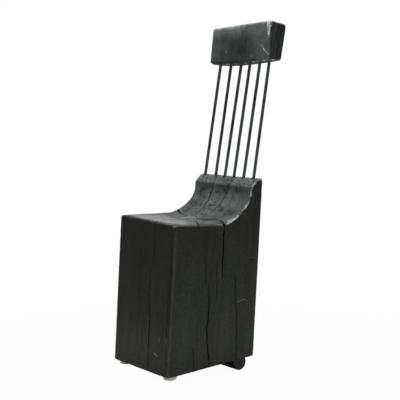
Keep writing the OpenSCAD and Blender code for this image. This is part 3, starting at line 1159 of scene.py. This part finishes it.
    # Dark lines of the grain across the seat and a bruise on the side
    STREAKS = (
        (((-36, 186, 448), (-20, 194, 447), (21, 203, 447), (48, 210, 448), (69, 214, 449)), 0.62),
        (((-75, 160, 452), (-33, 164, 448)), 0.55),
        (((-54, 76, 452), (-24, 103, 450), (0, 112, 449)), 0.5),
        (((155.4, 289, 334.7), (155.4, 309, 332.2)), 0.6),
    )
    # Flare at a socket's mouth: how far it reaches below and above the mouth, and
    # by how much its radius is less than the rod's there, and more
    FLARE_MM = (5, 9, 0.4, 6)
    # Least and greatest length and width of gouges and of pits, and depth of both
    GOUGE_MM = ((4.5, 12.0), (2.0, 4.0))
    PIT_MM = ((1.8, 4.0), (1.4, 2.6))
    TORN_MM = (1.0, 2.2)
    # Where fibres are torn bare, at the near corner and by the crack behind it:
    # centre, reach and how bare
    BARE_SPOTS = (((146, 32, 446), (13, 14, 9), 0.55), ((142, 184, 446), (9, 7, 9), 1.0))
    SCRATCHES = (
        Scratch((154, 246, 209.4), (154, 269.5, 215.2), (-1, 0, 0), 0.9, 0.4),
        Scratch((154, 269.5, 215.2), (154, 283, 209.7), (-1, 0, 0), 0.8, 0.3),
        Scratch((155, 288, 339.7), (155, 303, 337), (-1, 0, 0), 0.8, 0.2),
        Scratch((76, 4.5, 71.5), (92.3, 4, 65.2), (0, 1, 0), 1.0),
        Scratch((98.5, 7.4, 119), (99.5, 7, 110), (0, 1, 0), 0.9),
        Scratch((135.5, 7.8, 124), (137.5, 6.9, 109), (0, 1, 0), 1.1),
    )

    def build(self) -> None:
        """Cuts the beam: even mesh, hewn faces, cracks, gouges and openings."""
        rng = np.random.default_rng(self.seed)
        wood = self.wood = WorkedWood("hewn_beam", "seat_block", self.voxel_mm)
        wood.fair(12, 0.15 + 0.85 * self.sawn())
        self.hew()
        self.scratches = wood.scratched(self.SCRATCHES)
        wood.cut("beam openings", self.openings())
        wood.split("face crack", self.FACE_CRACKS, rng)
        wood.split("top crack", self.TOP_CRACKS, rng, apart=True)
        wood.cut("gouges", [gouge.shell() for gouge in self.scatter(rng)])
        self.mark()

    def sawn(self) -> Array:
        """How far each point lies on the sawn top rather than on a face."""
        above = rise(self.wood.points[:, 2], self.seat_low - 0.022, self.seat_low - 0.008)
        return rise(self.wood.normals[:, 2], 0.04, 0.4) * above

    def outer(self) -> Array:
        """How far each point lies on the outside and not in a socket or recess.

        Returns:
            Values from 0 to 1.
        """
        x, y, z = self.wood.points.T
        front = DATUM_MM[1] * MM + self.front_slope * z
        inset = np.minimum.reduce([self.side_x + self.side_slope * z - np.abs(x), y - front,
                                   front + self.depth - y])
        return np.maximum(fall(inset, 0.004, 0.012), self.sawn())

    def hew(self) -> None:
        """Presses in the shallow flats of plane and adze, and of the scoop's saw."""
        mm = self.wood.points / MM
        upright, ripple, adze, bumpy = (
            lattice_noise(mm, cell, self.seed + number) for number, cell in enumerate(
                ((38, 38, 260), (11, 11, 150), (30, 26, 26), (9, 9, 9))))
        sawn = self.sawn()
        depth = ((1 - sawn) * (0.35 * upright + 0.1 * ripple)
                 + sawn * (0.5 * adze + 0.16 * bumpy))
        self.wood.press(self.hewn_mm * depth * self.outer())

    def openings(self) -> list[Shell]:
        """Cutters that give sockets, glide beds and recess their crisp edges.

        Returns:
            One shell to each opening.
        """
        shells = []
        below, above, less, more = self.FLARE_MM
        for low, high in self.rods.lines():
            axis = (high - low).normalized()
            mouth = low + axis * self.socket_mm * MM
            shells.append(tube_shell(mouth - axis * below * MM, mouth + axis * above * MM,
                                     self.rods.radius - less * MM,
                                     self.rods.radius + more * MM))
        for side in SIDES:
            low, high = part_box(f"glide_{side}")
            middle = (low + high) / 2
            radius = (high.x - low.x) / 2 + self.glide_room_mm * MM
            shells.append(tube_shell(Vector((middle.x, middle.y, -0.002)),
                                     Vector((middle.x, middle.y, high.z)), radius, radius))
        clear = self.roller_room_mm * MM
        low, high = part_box("roller_left")[0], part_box("roller_right")[1]
        shells.append(box_shell(Vector((low.x - clear, low.y - clear, 0.0)),
                                Vector((high.x + clear, high.y + clear, high.z + clear))))
        return shells

    def scatter(self, rng: np.random.Generator) -> list[Gouge]:
        """Spreads torn-out marks over the scoop, with room between them.

        Args:
            rng: Picks place, direction and size.

        Returns:
            The marks.
        """
        points, normals = self.wood.points, self.wood.normals
        x, y, z = points.T
        back = y / MM - DATUM_MM[1]
        # The scoop's slope and the shelf's upright front
        there = ((np.abs(x) < self.side_x - 0.012) & (back > 165) & (back < 330)
                 & (z > self.seat_low) & ((normals[:, 2] > 0.45)
                                          | ((normals[:, 1] < -0.6) & (back > 270))))
        # Torn grain comes in clusters, and less of it towards the right
        cluster = lattice_noise(points / MM, (34, 34, 34), self.seed + 9)
        there &= cluster > 0.35 * rise(x, 0.02, 0.13) - 0.12
        pool = np.flatnonzero(there)
        rng.shuffle(pool)
        chosen: list[Gouge] = []
        taken = np.empty((0, 3))
        for index in pool:
            if len(chosen) >= self.gouges + self.pits:
                break
            place = points[index]
            big = len(chosen) < self.gouges
            room = 11 * MM if big else 6 * MM
            if len(taken) and np.linalg.norm(taken - place, axis=1).min() < room:
                continue
            # The seat itself is worn smooth, so marks get rare towards the front
            if rng.random() > rise(back[index], 165, 235):
                continue
            taken = np.vstack([taken, place])
            normal = Vector(normals[index]).normalized()
            downhill = (Vector((0, -1, 0)) + normal * normal.y).normalized()
            turn = rng.normal(0, 0.9)
            run = downhill * math.cos(turn) + normal.cross(downhill) * math.sin(turn)
            length, width = (rng.uniform(*limits)
                             for limits in (self.GOUGE_MM if big else self.PIT_MM))
            gouge = Gouge(Vector(place), normal, run.normalized(), length * MM,
                          width * MM, rng.uniform(*self.TORN_MM) * MM)
            chosen.append(gouge)
            if big:
                half = gouge.run * gouge.length / 2
                ends = np.array((gouge.place - half, gouge.place + half)) / MM
                self.wood.dark_mouths.append((ends, 0.3 * width))
        log.info("scoop: %d torn-out marks", len(chosen))
        return chosen

    def mark(self) -> None:
        """Stores masks of sawn wood, wear, polish and dark marks, with the painted light and shade
        in them.
        """
        wood = self.wood
        mm = wood.datum_mm()
        x, y, z = mm.T
        sawn, edge = self.sawn(), rise(wood.convexity(), 34, 95)
        fleck = lattice_noise(mm, (8, 8, 8), self.seed + 5)
        low = self.seat_low / MM
        top, shelf = rise(z, low - 10, low), rise(z, 553, 561)
        # Where the seat's right and front edges roll over, their darkening is painted shade
        near_side = rise(x, 86, 134) * rise(y, 14, 36) * fall(y, 176, 190)
        near_front = fall(y, 36, 64) * (1 - 0.5 * rise(-x, 90, 140))
        wood.mark(worn=self.worn(mm, edge, fleck, top, shelf),
                  # Painted shade round the feet of the rods, where they stand in the shelf
                  rod_shade=sawn * fall(self.rods.gap_mm(wood.points) + 1.2 * fleck, 5.0, 9.5),
                  hollow=self.hollow(mm, fleck, np.maximum(0.66 * near_side, 0.5 * near_front)),
                  sawn=sawn)
        # The sitter polishes the seat in a band behind its front edge, whose paler
        # colour is partly polish and partly painted sheen, and the seat's rounded
        # edges get painted shade where they roll over
        blotch = lattice_noise(mm, (30, 26, 46), self.seed + 6, 3)
        streak = lattice_noise(mm, (70, 15, 60), self.seed + 8)
        aside, ahead = np.abs(wood.normals[:, 0]), -wood.normals[:, 1]
        wall = rise(ahead, 0.4, 0.8) * rise(z, 470, 500) * fall(y, 310, 325)
        front, seat = fall(y, 180, 200), fall(y, 185, 225)
        flat = np.maximum(sawn, wall) * fall(aside, 0.3 - 0.22 * front, 0.65 - 0.3 * front)
        flat *= 1 - rise(ahead + 0.12 * fleck, 0.08, 0.55) * fall(y, 50, 90)
        band = np.exp(-((y - 78 - 0.08 * x) / 34) ** 2)
        behind = np.exp(-((y - 165) / 30) ** 2) * fall(x, -60, 60)
        far = fall(x, -150, -70)
        tone = (0.29 + seat * (0.12 + 0.5 * band - 0.2 * behind - 0.26 * far + 0.36 * streak)
                + 0.35 * shelf + 0.45 * wall * (1 - shelf) + 0.28 * blotch
                - 0.18 * rise(-x, 50, 140) * (1 - seat) * (1 - shelf))
        tone *= (1 - 0.7 * near_side) * (1 - 0.7 * near_front)
        # The near upright corner gets a painted highlight along its rounding, and
        # the sides are a little lighter low down
        corner = 0.17 * edge * rise(x, 140, 148) * fall(y, 30, 50) * (1 - top)
        scuffed = 0.045 * fall(z, 60, 380) * rise(aside, 0.6, 0.9)
        wood.mark(handled_and_lit=np.maximum(flat * tone, corner + scuffed))

    def worn(self, mm: Array, edge: Array, fleck: Array, top: Array, shelf: Array) -> Array:
        """How far the stain is rubbed off, most along the right rim of scoop and shelf.

        Args:
            mm: The points in millimetres from the datum.
            edge: Where the outer edges are.
            fleck: Fine noise.
            top: Where the points lie as high as the seat or higher.
            shelf: Where they lie as high as the shelf.

        Returns:
            The share that is rubbed.
        """
        x, y, _ = mm.T
        right, turned = rise(x, 143, 149), self.wood.normals[:, 0]
        lower = rise(y, 204, 213) * fall(y, 262, 310)
        rim = right * top * rise(y, 192, 204)
        strength = (0.08 + 0.05 * fleck
                    + rim * (0.36 - 0.14 * fall(y, 203, 212) + 0.46 * lower
                             + 0.24 * shelf + (0.34 + 0.46 * lower) * fleck)
                    + rise(-x, 142, 149) * top * 0.2 + top * (1 - right) * 0.06)
        arris = rise(turned, 0.1, 0.3) * fall(turned, 0.9, 0.99)
        worn = np.maximum(edge, rim * arris) * np.clip(strength, 0, 1)
        # Low on the rim the wood is torn, and shows in bright chips
        torn = rise(y, 210, 218) * fall(y, 238, 247)
        chips = lattice_noise(mm, (5, 5, 5), self.seed + 12)
        worn *= 1 - 0.6 * torn * rise(-chips, 0.02, 0.2)
        inner = self.sawn() * np.maximum(
            rim * (0.14 + 0.25 * shelf),
            torn * top * rise(x, 135, 141) * 0.85 * rise(chips, 0.02, 0.2))
        spots = [share * np.exp(-(((mm - np.array(centre)) / np.array(size)) ** 2).sum(1))
                 for centre, size, share in self.BARE_SPOTS]
        return np.maximum.reduce([worn, inner, *spots])

    def hollow(self, mm: Array, fleck: Array, edge_shade: Array) -> Array:
        """How dark each point is: the real knots and streaks, dirt and painted shade at crack
        mouths, and painted shade in hollows, on the seat's rounded edges and high on the upright
        faces.

        Args:
            mm: The points in millimetres from the datum.
            fleck: Fine noise.
            edge_shade: How far painted shade darkens the seat's rounded edges.

        Returns:
            The darkness.
        """
        wood, sawn, z = self.wood, self.sawn(), mm[:, 2]
        # Painted shade in concave places, dirt and painted shade at crack mouths, and painted
        # shade on the seat's rounded edges
        layers = [rise(-wood.convexity(1), 60, 260) * 0.85, 0.8 * wood.dirt(), sawn * edge_shade]
        for centre, radius in self.KNOTS:
            gap = np.linalg.norm(mm - np.array(centre), axis=1)
            ring = 0.5 + 0.5 * np.cos(gap * 1.15 + 1.5 * fleck)
            layers.append(fall(gap + 2 * fleck, 0.25 * radius, radius) * (0.35 + 0.65 * ring))
        for line, depth in self.STREAKS:
            layers.append(depth * fall(line_gap(mm, line) + fleck, 0.8, 4.5))
        # Painted shade: the upright faces are darker higher up, and lighter low down where the
        # floor throws light back
        shaded_high = np.maximum(rise(-wood.normals[:, 1], 0.8, 0.95) * rise(z, 60, 220),
                           rise(wood.normals[:, 0], 0.8, 0.95) * rise(z, 300, 420))
        return np.maximum.reduce([*layers, 0.3 * shaded_high * (1 - sawn)])

    def dress(self) -> None:
        """Gives the beam its finish."""
        finish = EbonisedOak("ebonised oak beam", scratches=self.scratches)
        self.wood.finish(finish.make(), "ebonised_oak", 42)


@dataclass
class Headrest:
    """The block on top of the rods, softened by hand and by years of use."""

    rods: RodBack
    voxel_mm: float = 1.6
    swell_mm: float = 2.6
    hewn_mm: float = 0.7
    # Length of the cutter that clears each rod's hole, down from the rod's end
    socket_mm: float = 52.0
    seed: int = 77

    # The near front corner is planed off, steeply at its top and less below
    FACETS = (((154.0, 370.2, 1040.0), (0.63, -0.77, 0.05)),
              ((141.0, 362.8, 1040.0), (0.62, -0.76, 0.19)))
    # The bare wood on it narrows downwards: heights, and where it begins and ends
    BARE = ((983, 1006, 1022, 1037), (146.7, 145.8, 143.5, 141), (150.6, 150.4, 152.1, 156))
    # The far lower corner is knocked round
    CHAMFERS = (((-150.5, 360.0, 934.0), (-0.78, 0.0, -0.62)),
                ((-141.0, 360.0, 925.5), (-0.45, 0.0, -0.89)))
    # Where the lower arris of the front face is painted pale, partly rubbed wood and partly light
    # between the rods' shadows, and how far
    PALE_RUNS = ((-124, -104, 0.5), (-82, -48, 0.6), (-21, 1, 0.5), (31, 45, 0.5),
                 (70, 102, 0.75), (121, 147, 0.7))
    # A dark line that runs down the front face
    DARK_LINE = ((38.0, 1018.0), (45.0, 927.0))
    SCRATCHES = (
        Scratch((121, 360, 972.4), (131.3, 360, 958.4), (0, 1, 0), 0.9, 0.6),
        Scratch((131.3, 360, 958.4), (139.5, 360, 952), (0, 1, 0), 1.1, 0.8),
        Scratch((139.5, 360, 952), (147, 360, 946.8), (0, 1, 0), 1.1, 0.7),
        Scratch((147, 360, 946.8), (152, 360, 943.4), (-0.5, 0.866, 0), 1.1, 0.6),
        Scratch((131, 360, 959), (132.5, 360, 957.4), (0, 1, 0), 2.8, 1.0),
        Scratch((-62, 362, 963.5), (-61, 362, 958), (0, 1, 0), 1.6, 0.4),
        Scratch((68, 360, 943), (72, 360, 939), (0, 1, 0), 2.2, 0.25),
    )

    def build(self) -> None:
        """Cuts the block: even mesh, swollen faces, hewn skin and clean sockets."""
        wood = self.wood = WorkedWood("hewn_headrest", "headrest", self.voxel_mm)
        wood.fair(14)
        self.shape()
        self.scratches = wood.scratched(self.SCRATCHES)
        wood.cut("rod sockets", [
            tube_shell(high - (high - low).normalized() * self.socket_mm * MM, high,
                       self.rods.radius + 0.5 * MM, self.rods.radius + 0.1 * MM)
            for low, high in self.rods.lines()])
        self.mark()

    def share(self, axis: int) -> Array:
        """How far along one axis of the block each point lies, from 0 to 1."""
        low, high = self.wood.low[axis], self.wood.high[axis]
        return (self.wood.points[:, axis] - low) / (high - low)

    def shape(self) -> None:
        """Swells the front face, planes its corners and presses in scraper marks."""
        wood = self.wood
        across, up = (np.clip(np.abs(self.share(axis) * 2 - 1), 0, 1) for axis in (0, 2))
        crown = (1 - across ** 3) * (1 - up ** 2.4)
        front = rise(-wood.normals[:, 1], 0.5, 0.9)
        mm = wood.points / MM
        skin = (0.5 * lattice_noise(mm, (90, 30, 34), self.seed)
                + 0.14 * lattice_noise(mm, (16, 9, 9), self.seed + 1))
        for point, normal in self.FACETS + self.CHAMFERS:
            wood.plane_off(point, normal)
        wood.press(self.hewn_mm * skin - self.swell_mm * crown * front)

    def mark(self) -> None:
        """Stores masks of wear, polish and dark marks on the block, with the painted light and
        shade in them.
        """
        wood, share = self.wood, self.share(2)
        mm = wood.datum_mm()
        x, y, z = mm.T
        fleck = lattice_noise(mm, (6, 6, 9), self.seed + 4)
        out = np.max([(mm - np.array(point)) @ (np.array(normal) / np.linalg.norm(normal))
                      for point, normal in self.FACETS], axis=0)
        facet = rise(out, -1.6, -0.5) * rise(z, 968, 990)
        # Beyond the bare wood the stain is whole
        begins, ends = (np.interp(z, self.BARE[0], side) for side in self.BARE[1:])
        stained = rise(x, ends - 0.6, ends + 1.8)
        bare = facet * (1 - stained) * rise(x, begins - 1.6, begins + 0.6)
        strength = 0.12 + 0.14 * rise(share, 0.85, 0.97) + 0.2 * fall(share, 0.02, 0.08)
        ahead = rise(-wood.normals[:, 1], 0.3, 0.6)
        # The lower arris is painted pale in short runs, partly rubbed wood and partly light
        # between the rods' shadows
        down = -wood.normals[:, 2] * (z < 945)
        arris = rise(down, 0.25, 0.4) * fall(down, 0.85, 0.95)
        runs = np.max([0.6 * (x > 148) * rise(y, 368, 372) * fall(y, 384, 388)]
                      + [pale * (y < 366) * rise(x, start - 3, start + 3)
                         * fall(x, end - 3, end + 3) for start, end, pale in self.PALE_RUNS],
                      axis=0)
        # Rubbed edges and bare wood, with painted light on the upper front face and along the
        # lower arris
        worn = np.maximum.reduce([
            rise(wood.convexity(), 30, 90) * (strength + 0.12 * fleck),
            bare * (0.5 + 0.42 * rise(z, 985, 1025) + 0.6 * fleck),
            0.36 * ahead * rise(share, 0.78, 0.95) * (1 + 0.1 * fleck), 0.75 * arris * runs])
        # Painted shade in concave places, on the planed facet beyond its bare wood, in a line
        # above the lower arris and on the underside, with the dark line down the front face
        hollow = np.maximum.reduce([
            rise(-wood.convexity(1), 60, 260) * 0.8,
            0.35 * fall(line_gap(mm[:, ::2], self.DARK_LINE), 1.0, 6.0),
            0.35 * facet * stained,
            0.45 * ahead * fall(z, 928, 936) * (1 - arris * (runs > 0.1)),
            0.7 * rise(down, 0.85, 0.97)])
        # Hands hold the block by its top and its ends, which greys the stain
        # there, and the lighter top and ends and darker middle are also painted
        # light and shade; the end grain drinks more stain
        blotch = lattice_noise(mm, (34, 30, 26), self.seed + 6, 3)
        middle = np.exp(-((x - 12) / 66) ** 2 - ((z - 968) / 40) ** 2)
        held_and_lit = (0.3 + 0.62 * rise(share + 0.09 * blotch, 0.6, 0.95)
                + 0.2 * rise(-x, 80, 145) + 0.42 * rise(x, 30, 120)
                + 0.1 * blotch - 0.2 * middle)
        fibres = lattice_noise(mm, (9, 5, 42), self.seed + 8)
        ends = rise(np.abs(wood.normals[:, 0]), 0.8, 0.95) * (1 - bare)
        # Painted shade round the rods' holes in the underside
        wood.mark(worn=worn, rod_shade=fall(self.rods.gap_mm(wood.points), 4.5, 8.0),
                  hollow=hollow, sawn=np.zeros(len(mm)),
                  handled_and_lit=held_and_lit * (1 - ends) + (0.11 + 0.34 * fibres) * ends)

    def dress(self) -> None:
        """Gives the block its finish, with the grain along its length."""
        finish = EbonisedOak("ebonised oak headrest", pith=(0.0, 0.24, 0.90),
                             grain=Grain.CROSSWAYS, drawn=0.3, fibre_mm=(3.4, 3.4, 14.0),
                             board_mm=(26.0, 26.0, 90.0), rubbed="#dfe6e7",
                             roughness=0.48, scratches=self.scratches)
        self.wood.finish(finish.make(), "ebonised_oak", 45)


@dataclass
class Glides:
    """The two nylon glides under the front edge, with their screws."""

    def dress(self, nylon: bpy.types.Material, zinc: bpy.types.Material) -> None:
        """Gives glides and screws their finishes.

        Args:
            nylon: The glides' material.
            zinc: The screws' material.
        """
        for side in SIDES:
            wear_nodes(nylon, f"glide_{side}")
            wear_nodes(zinc, f"glide_screw_{side}")
        log.info("glides: 2 glides and 2 screws dressed")


@dataclass
class RollingRear:
    """The wheelset under the rear edge and the brackets that it turns in."""

    def dress(self, zinc: bpy.types.Material, steel: bpy.types.Material,
              bronze: bpy.types.Material) -> None:
        """Gives rollers, axle, washers, bushes and brackets their finishes.

        Args:
            zinc: Material of axle, washers and screws.
            steel: Material of the brackets.
            bronze: Material of the bushes.
        """
        for side in SIDES:
            low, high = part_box(f"roller_{side}")
            wear_nodes(TurnedOak(centre=tuple((low + high) / 2)).make(), f"roller_{side}")
            wear_nodes(zinc, f"washer_{side}", f"bracket_screws_{side}")
            wear_nodes(bronze, f"bush_{side}")
            wear_nodes(steel, f"bracket_{side}")
        wear_nodes(zinc, "axle")
        log.info("rolling rear: 11 parts dressed")


# Studio

@dataclass(frozen=True)
class Camera:
    """The photograph's viewpoint, found from the chair's own corners."""

    place: Point = (2.6161, -1.7759, 0.7416)
    azimuth: float = 55.783
    pitch: float = 4.294
    lens_mm: float = 93.66
    sensor_mm: float = 36.0
    farthest: float = 60.0

    def set(self) -> None:
        """Makes the camera and gives it to the scene."""
        data = bpy.data.cameras.new("camera")
        data.lens, data.sensor_width, data.clip_end = self.lens_mm, self.sensor_mm, self.farthest
        camera = put("camera", data)
        camera.location = self.place
        camera.rotation_euler = (math.radians(90 - self.pitch), 0.0,
                                 math.radians(self.azimuth))
        bpy.context.scene.camera = camera


@dataclass(frozen=True)
class Softbox:
    """One large soft lamp that looks at a point of the chair."""

    name: str
    place: Point
    target: Point
    size: tuple[float, float]
    watts: float

    def set(self) -> None:
        """Makes the lamp."""
        data = bpy.data.lights.new(self.name, "AREA")
        data.shape = "RECTANGLE"
        data.size, data.size_y = self.size
        data.energy = self.watts
        lamp = put(self.name, data)
        lamp.location = self.place
        way = Vector(self.target) - Vector(self.place)
        lamp.rotation_euler = way.to_track_quat("-Z", "Y").to_euler()


@dataclass(frozen=True)
class Studio:
    """A white sweep behind the chair, a pale floor and soft lamps over it."""

    # Direction from the chair to the white sweep, away from the camera
    sweep: Point = (-0.827, 0.562, 0.0)
    # Cosines of the angle to it where the room's level ends and the sweep's begins
    sweep_ends: tuple[float, float] = (0.55, 0.92)
    sweep_level: float = 1.0
    room_level: float = 0.08
    ambient_level: float = 0.34
    floor_white: str = "#cfcfcd"
    floor_radius: float = 12.0
    floor_sides: int = 96
    floor_glow: float = 0.97
    # Distances from the chair's middle between which the floor turns fully white
    glow_ends: tuple[float, float] = (0.35, 1.6)
    softboxes: tuple[Softbox, ...] = (
        Softbox("overhead softbox", (-0.25, 0.15, 2.35), (0.0, 0.0, 0.5), (1.5, 1.5), 50.0),
        Softbox("right fill", (2.3, 0.5, 0.35), (0.15, 0.0, 0.2), (1.6, 0.7), 2.0),
        Softbox("low fill", (2.2, -0.7, 0.3), (0.0, -0.15, 0.03), (1.2, 0.5), 5.5),
    )

    def world(self) -> None:
        """Makes the world: white to the camera, a white sweep to reflections."""
        world = bpy.context.scene.world = bpy.data.worlds.new("white studio")
        add = fresh_tree(world)
        seen, glossy, through = (add("LightPath", out=f"Is {kind} Ray")
                                 for kind in ("Camera", "Glossy", "Transmission"))
        facing = add("VectorMath", (add("TexCoord", out="Generated"), self.sweep), "Value",
                     operation="DOT_PRODUCT")
        level = add("MapRange", (facing, *self.sweep_ends, self.room_level, self.sweep_level),
                    **EASED)
        strength = add("Mix", {0: add("Math", (glossy, through), operation="MAXIMUM"),
                               2: self.ambient_level, 3: level})
        strength = add("Mix", {0: seen, 2: strength, 3: 1.0})
        white = add("Background", {"Color": linear("#ffffff"), "Strength": strength})
        add("OutputWorld", {"Surface": white})

    def floor(self) -> None:
        """Makes the floor, which keeps a faint shadow of the chair."""
        turns = [math.tau * k / self.floor_sides for k in range(self.floor_sides)]
        mesh = bpy.data.meshes.new("studio_floor")
        mesh.from_pydata([(math.cos(a) * self.floor_radius, math.sin(a) * self.floor_radius, 0.0)
                          for a in turns], [], [tuple(range(self.floor_sides))])
        floor = put("studio_floor", mesh)
        material = bpy.data.materials.new("matt white floor")
        add = fresh_tree(material)
        seen, through = (add("LightPath", out=f"Is {kind} Ray")
                         for kind in ("Camera", "Transmission"))
        away = add("VectorMath", (add("TexCoord", out="Object"),), "Value", operation="LENGTH")
        glow = add("MapRange", (away, *self.glow_ends, self.floor_glow, 1.0), **EASED)
        share = add("Math", (glow, add("Math", (seen, through), operation="MAXIMUM")),
                    operation="MULTIPLY")
        matt = add("BsdfPrincipled", {"Base Color": linear(self.floor_white), "Roughness": 0.9})
        white = add("Emission", {"Color": linear("#ffffff"), "Strength": 1.0})
        add("OutputMaterial", {"Surface": add("MixShader", (share, matt, white))})
        wear_material(floor, material)

    def set(self) -> None:
        """Builds world, floor and lamps."""
        self.world()
        self.floor()
        for softbox in self.softboxes:
            softbox.set()
        log.info("studio: world, floor and %d softboxes", len(self.softboxes))


def main() -> None:
    """Builds the chair's sub-assemblies in order and sets the studio."""
    logging.basicConfig(level=logging.INFO, format="%(name)s %(message)s")
    bpy.context.scene.view_settings.view_transform = "Standard"
    Camera().set()
    steel = BlackenedSteel().make()
    zinc = BareMetal("zinc-plated steel", "#b4b8ba", "#8f959c", 0.34, 3.0, 0.6).make()
    bronze = BareMetal("bearing bronze", "#a8854f", "#7c6038", 0.32, 4.0, 0.5).make()
    nylon = MouldedNylon().make()
    rods = RodBack()
    for part in (SeatBeam(rods), Headrest(rods)):
        part.build()
        part.dress()
    rods.dress(steel)
    Glides().dress(nylon, zinc)
    RollingRear().dress(zinc, steel, bronze)
    Studio().set()


if __name__ == "__main__":
    main()
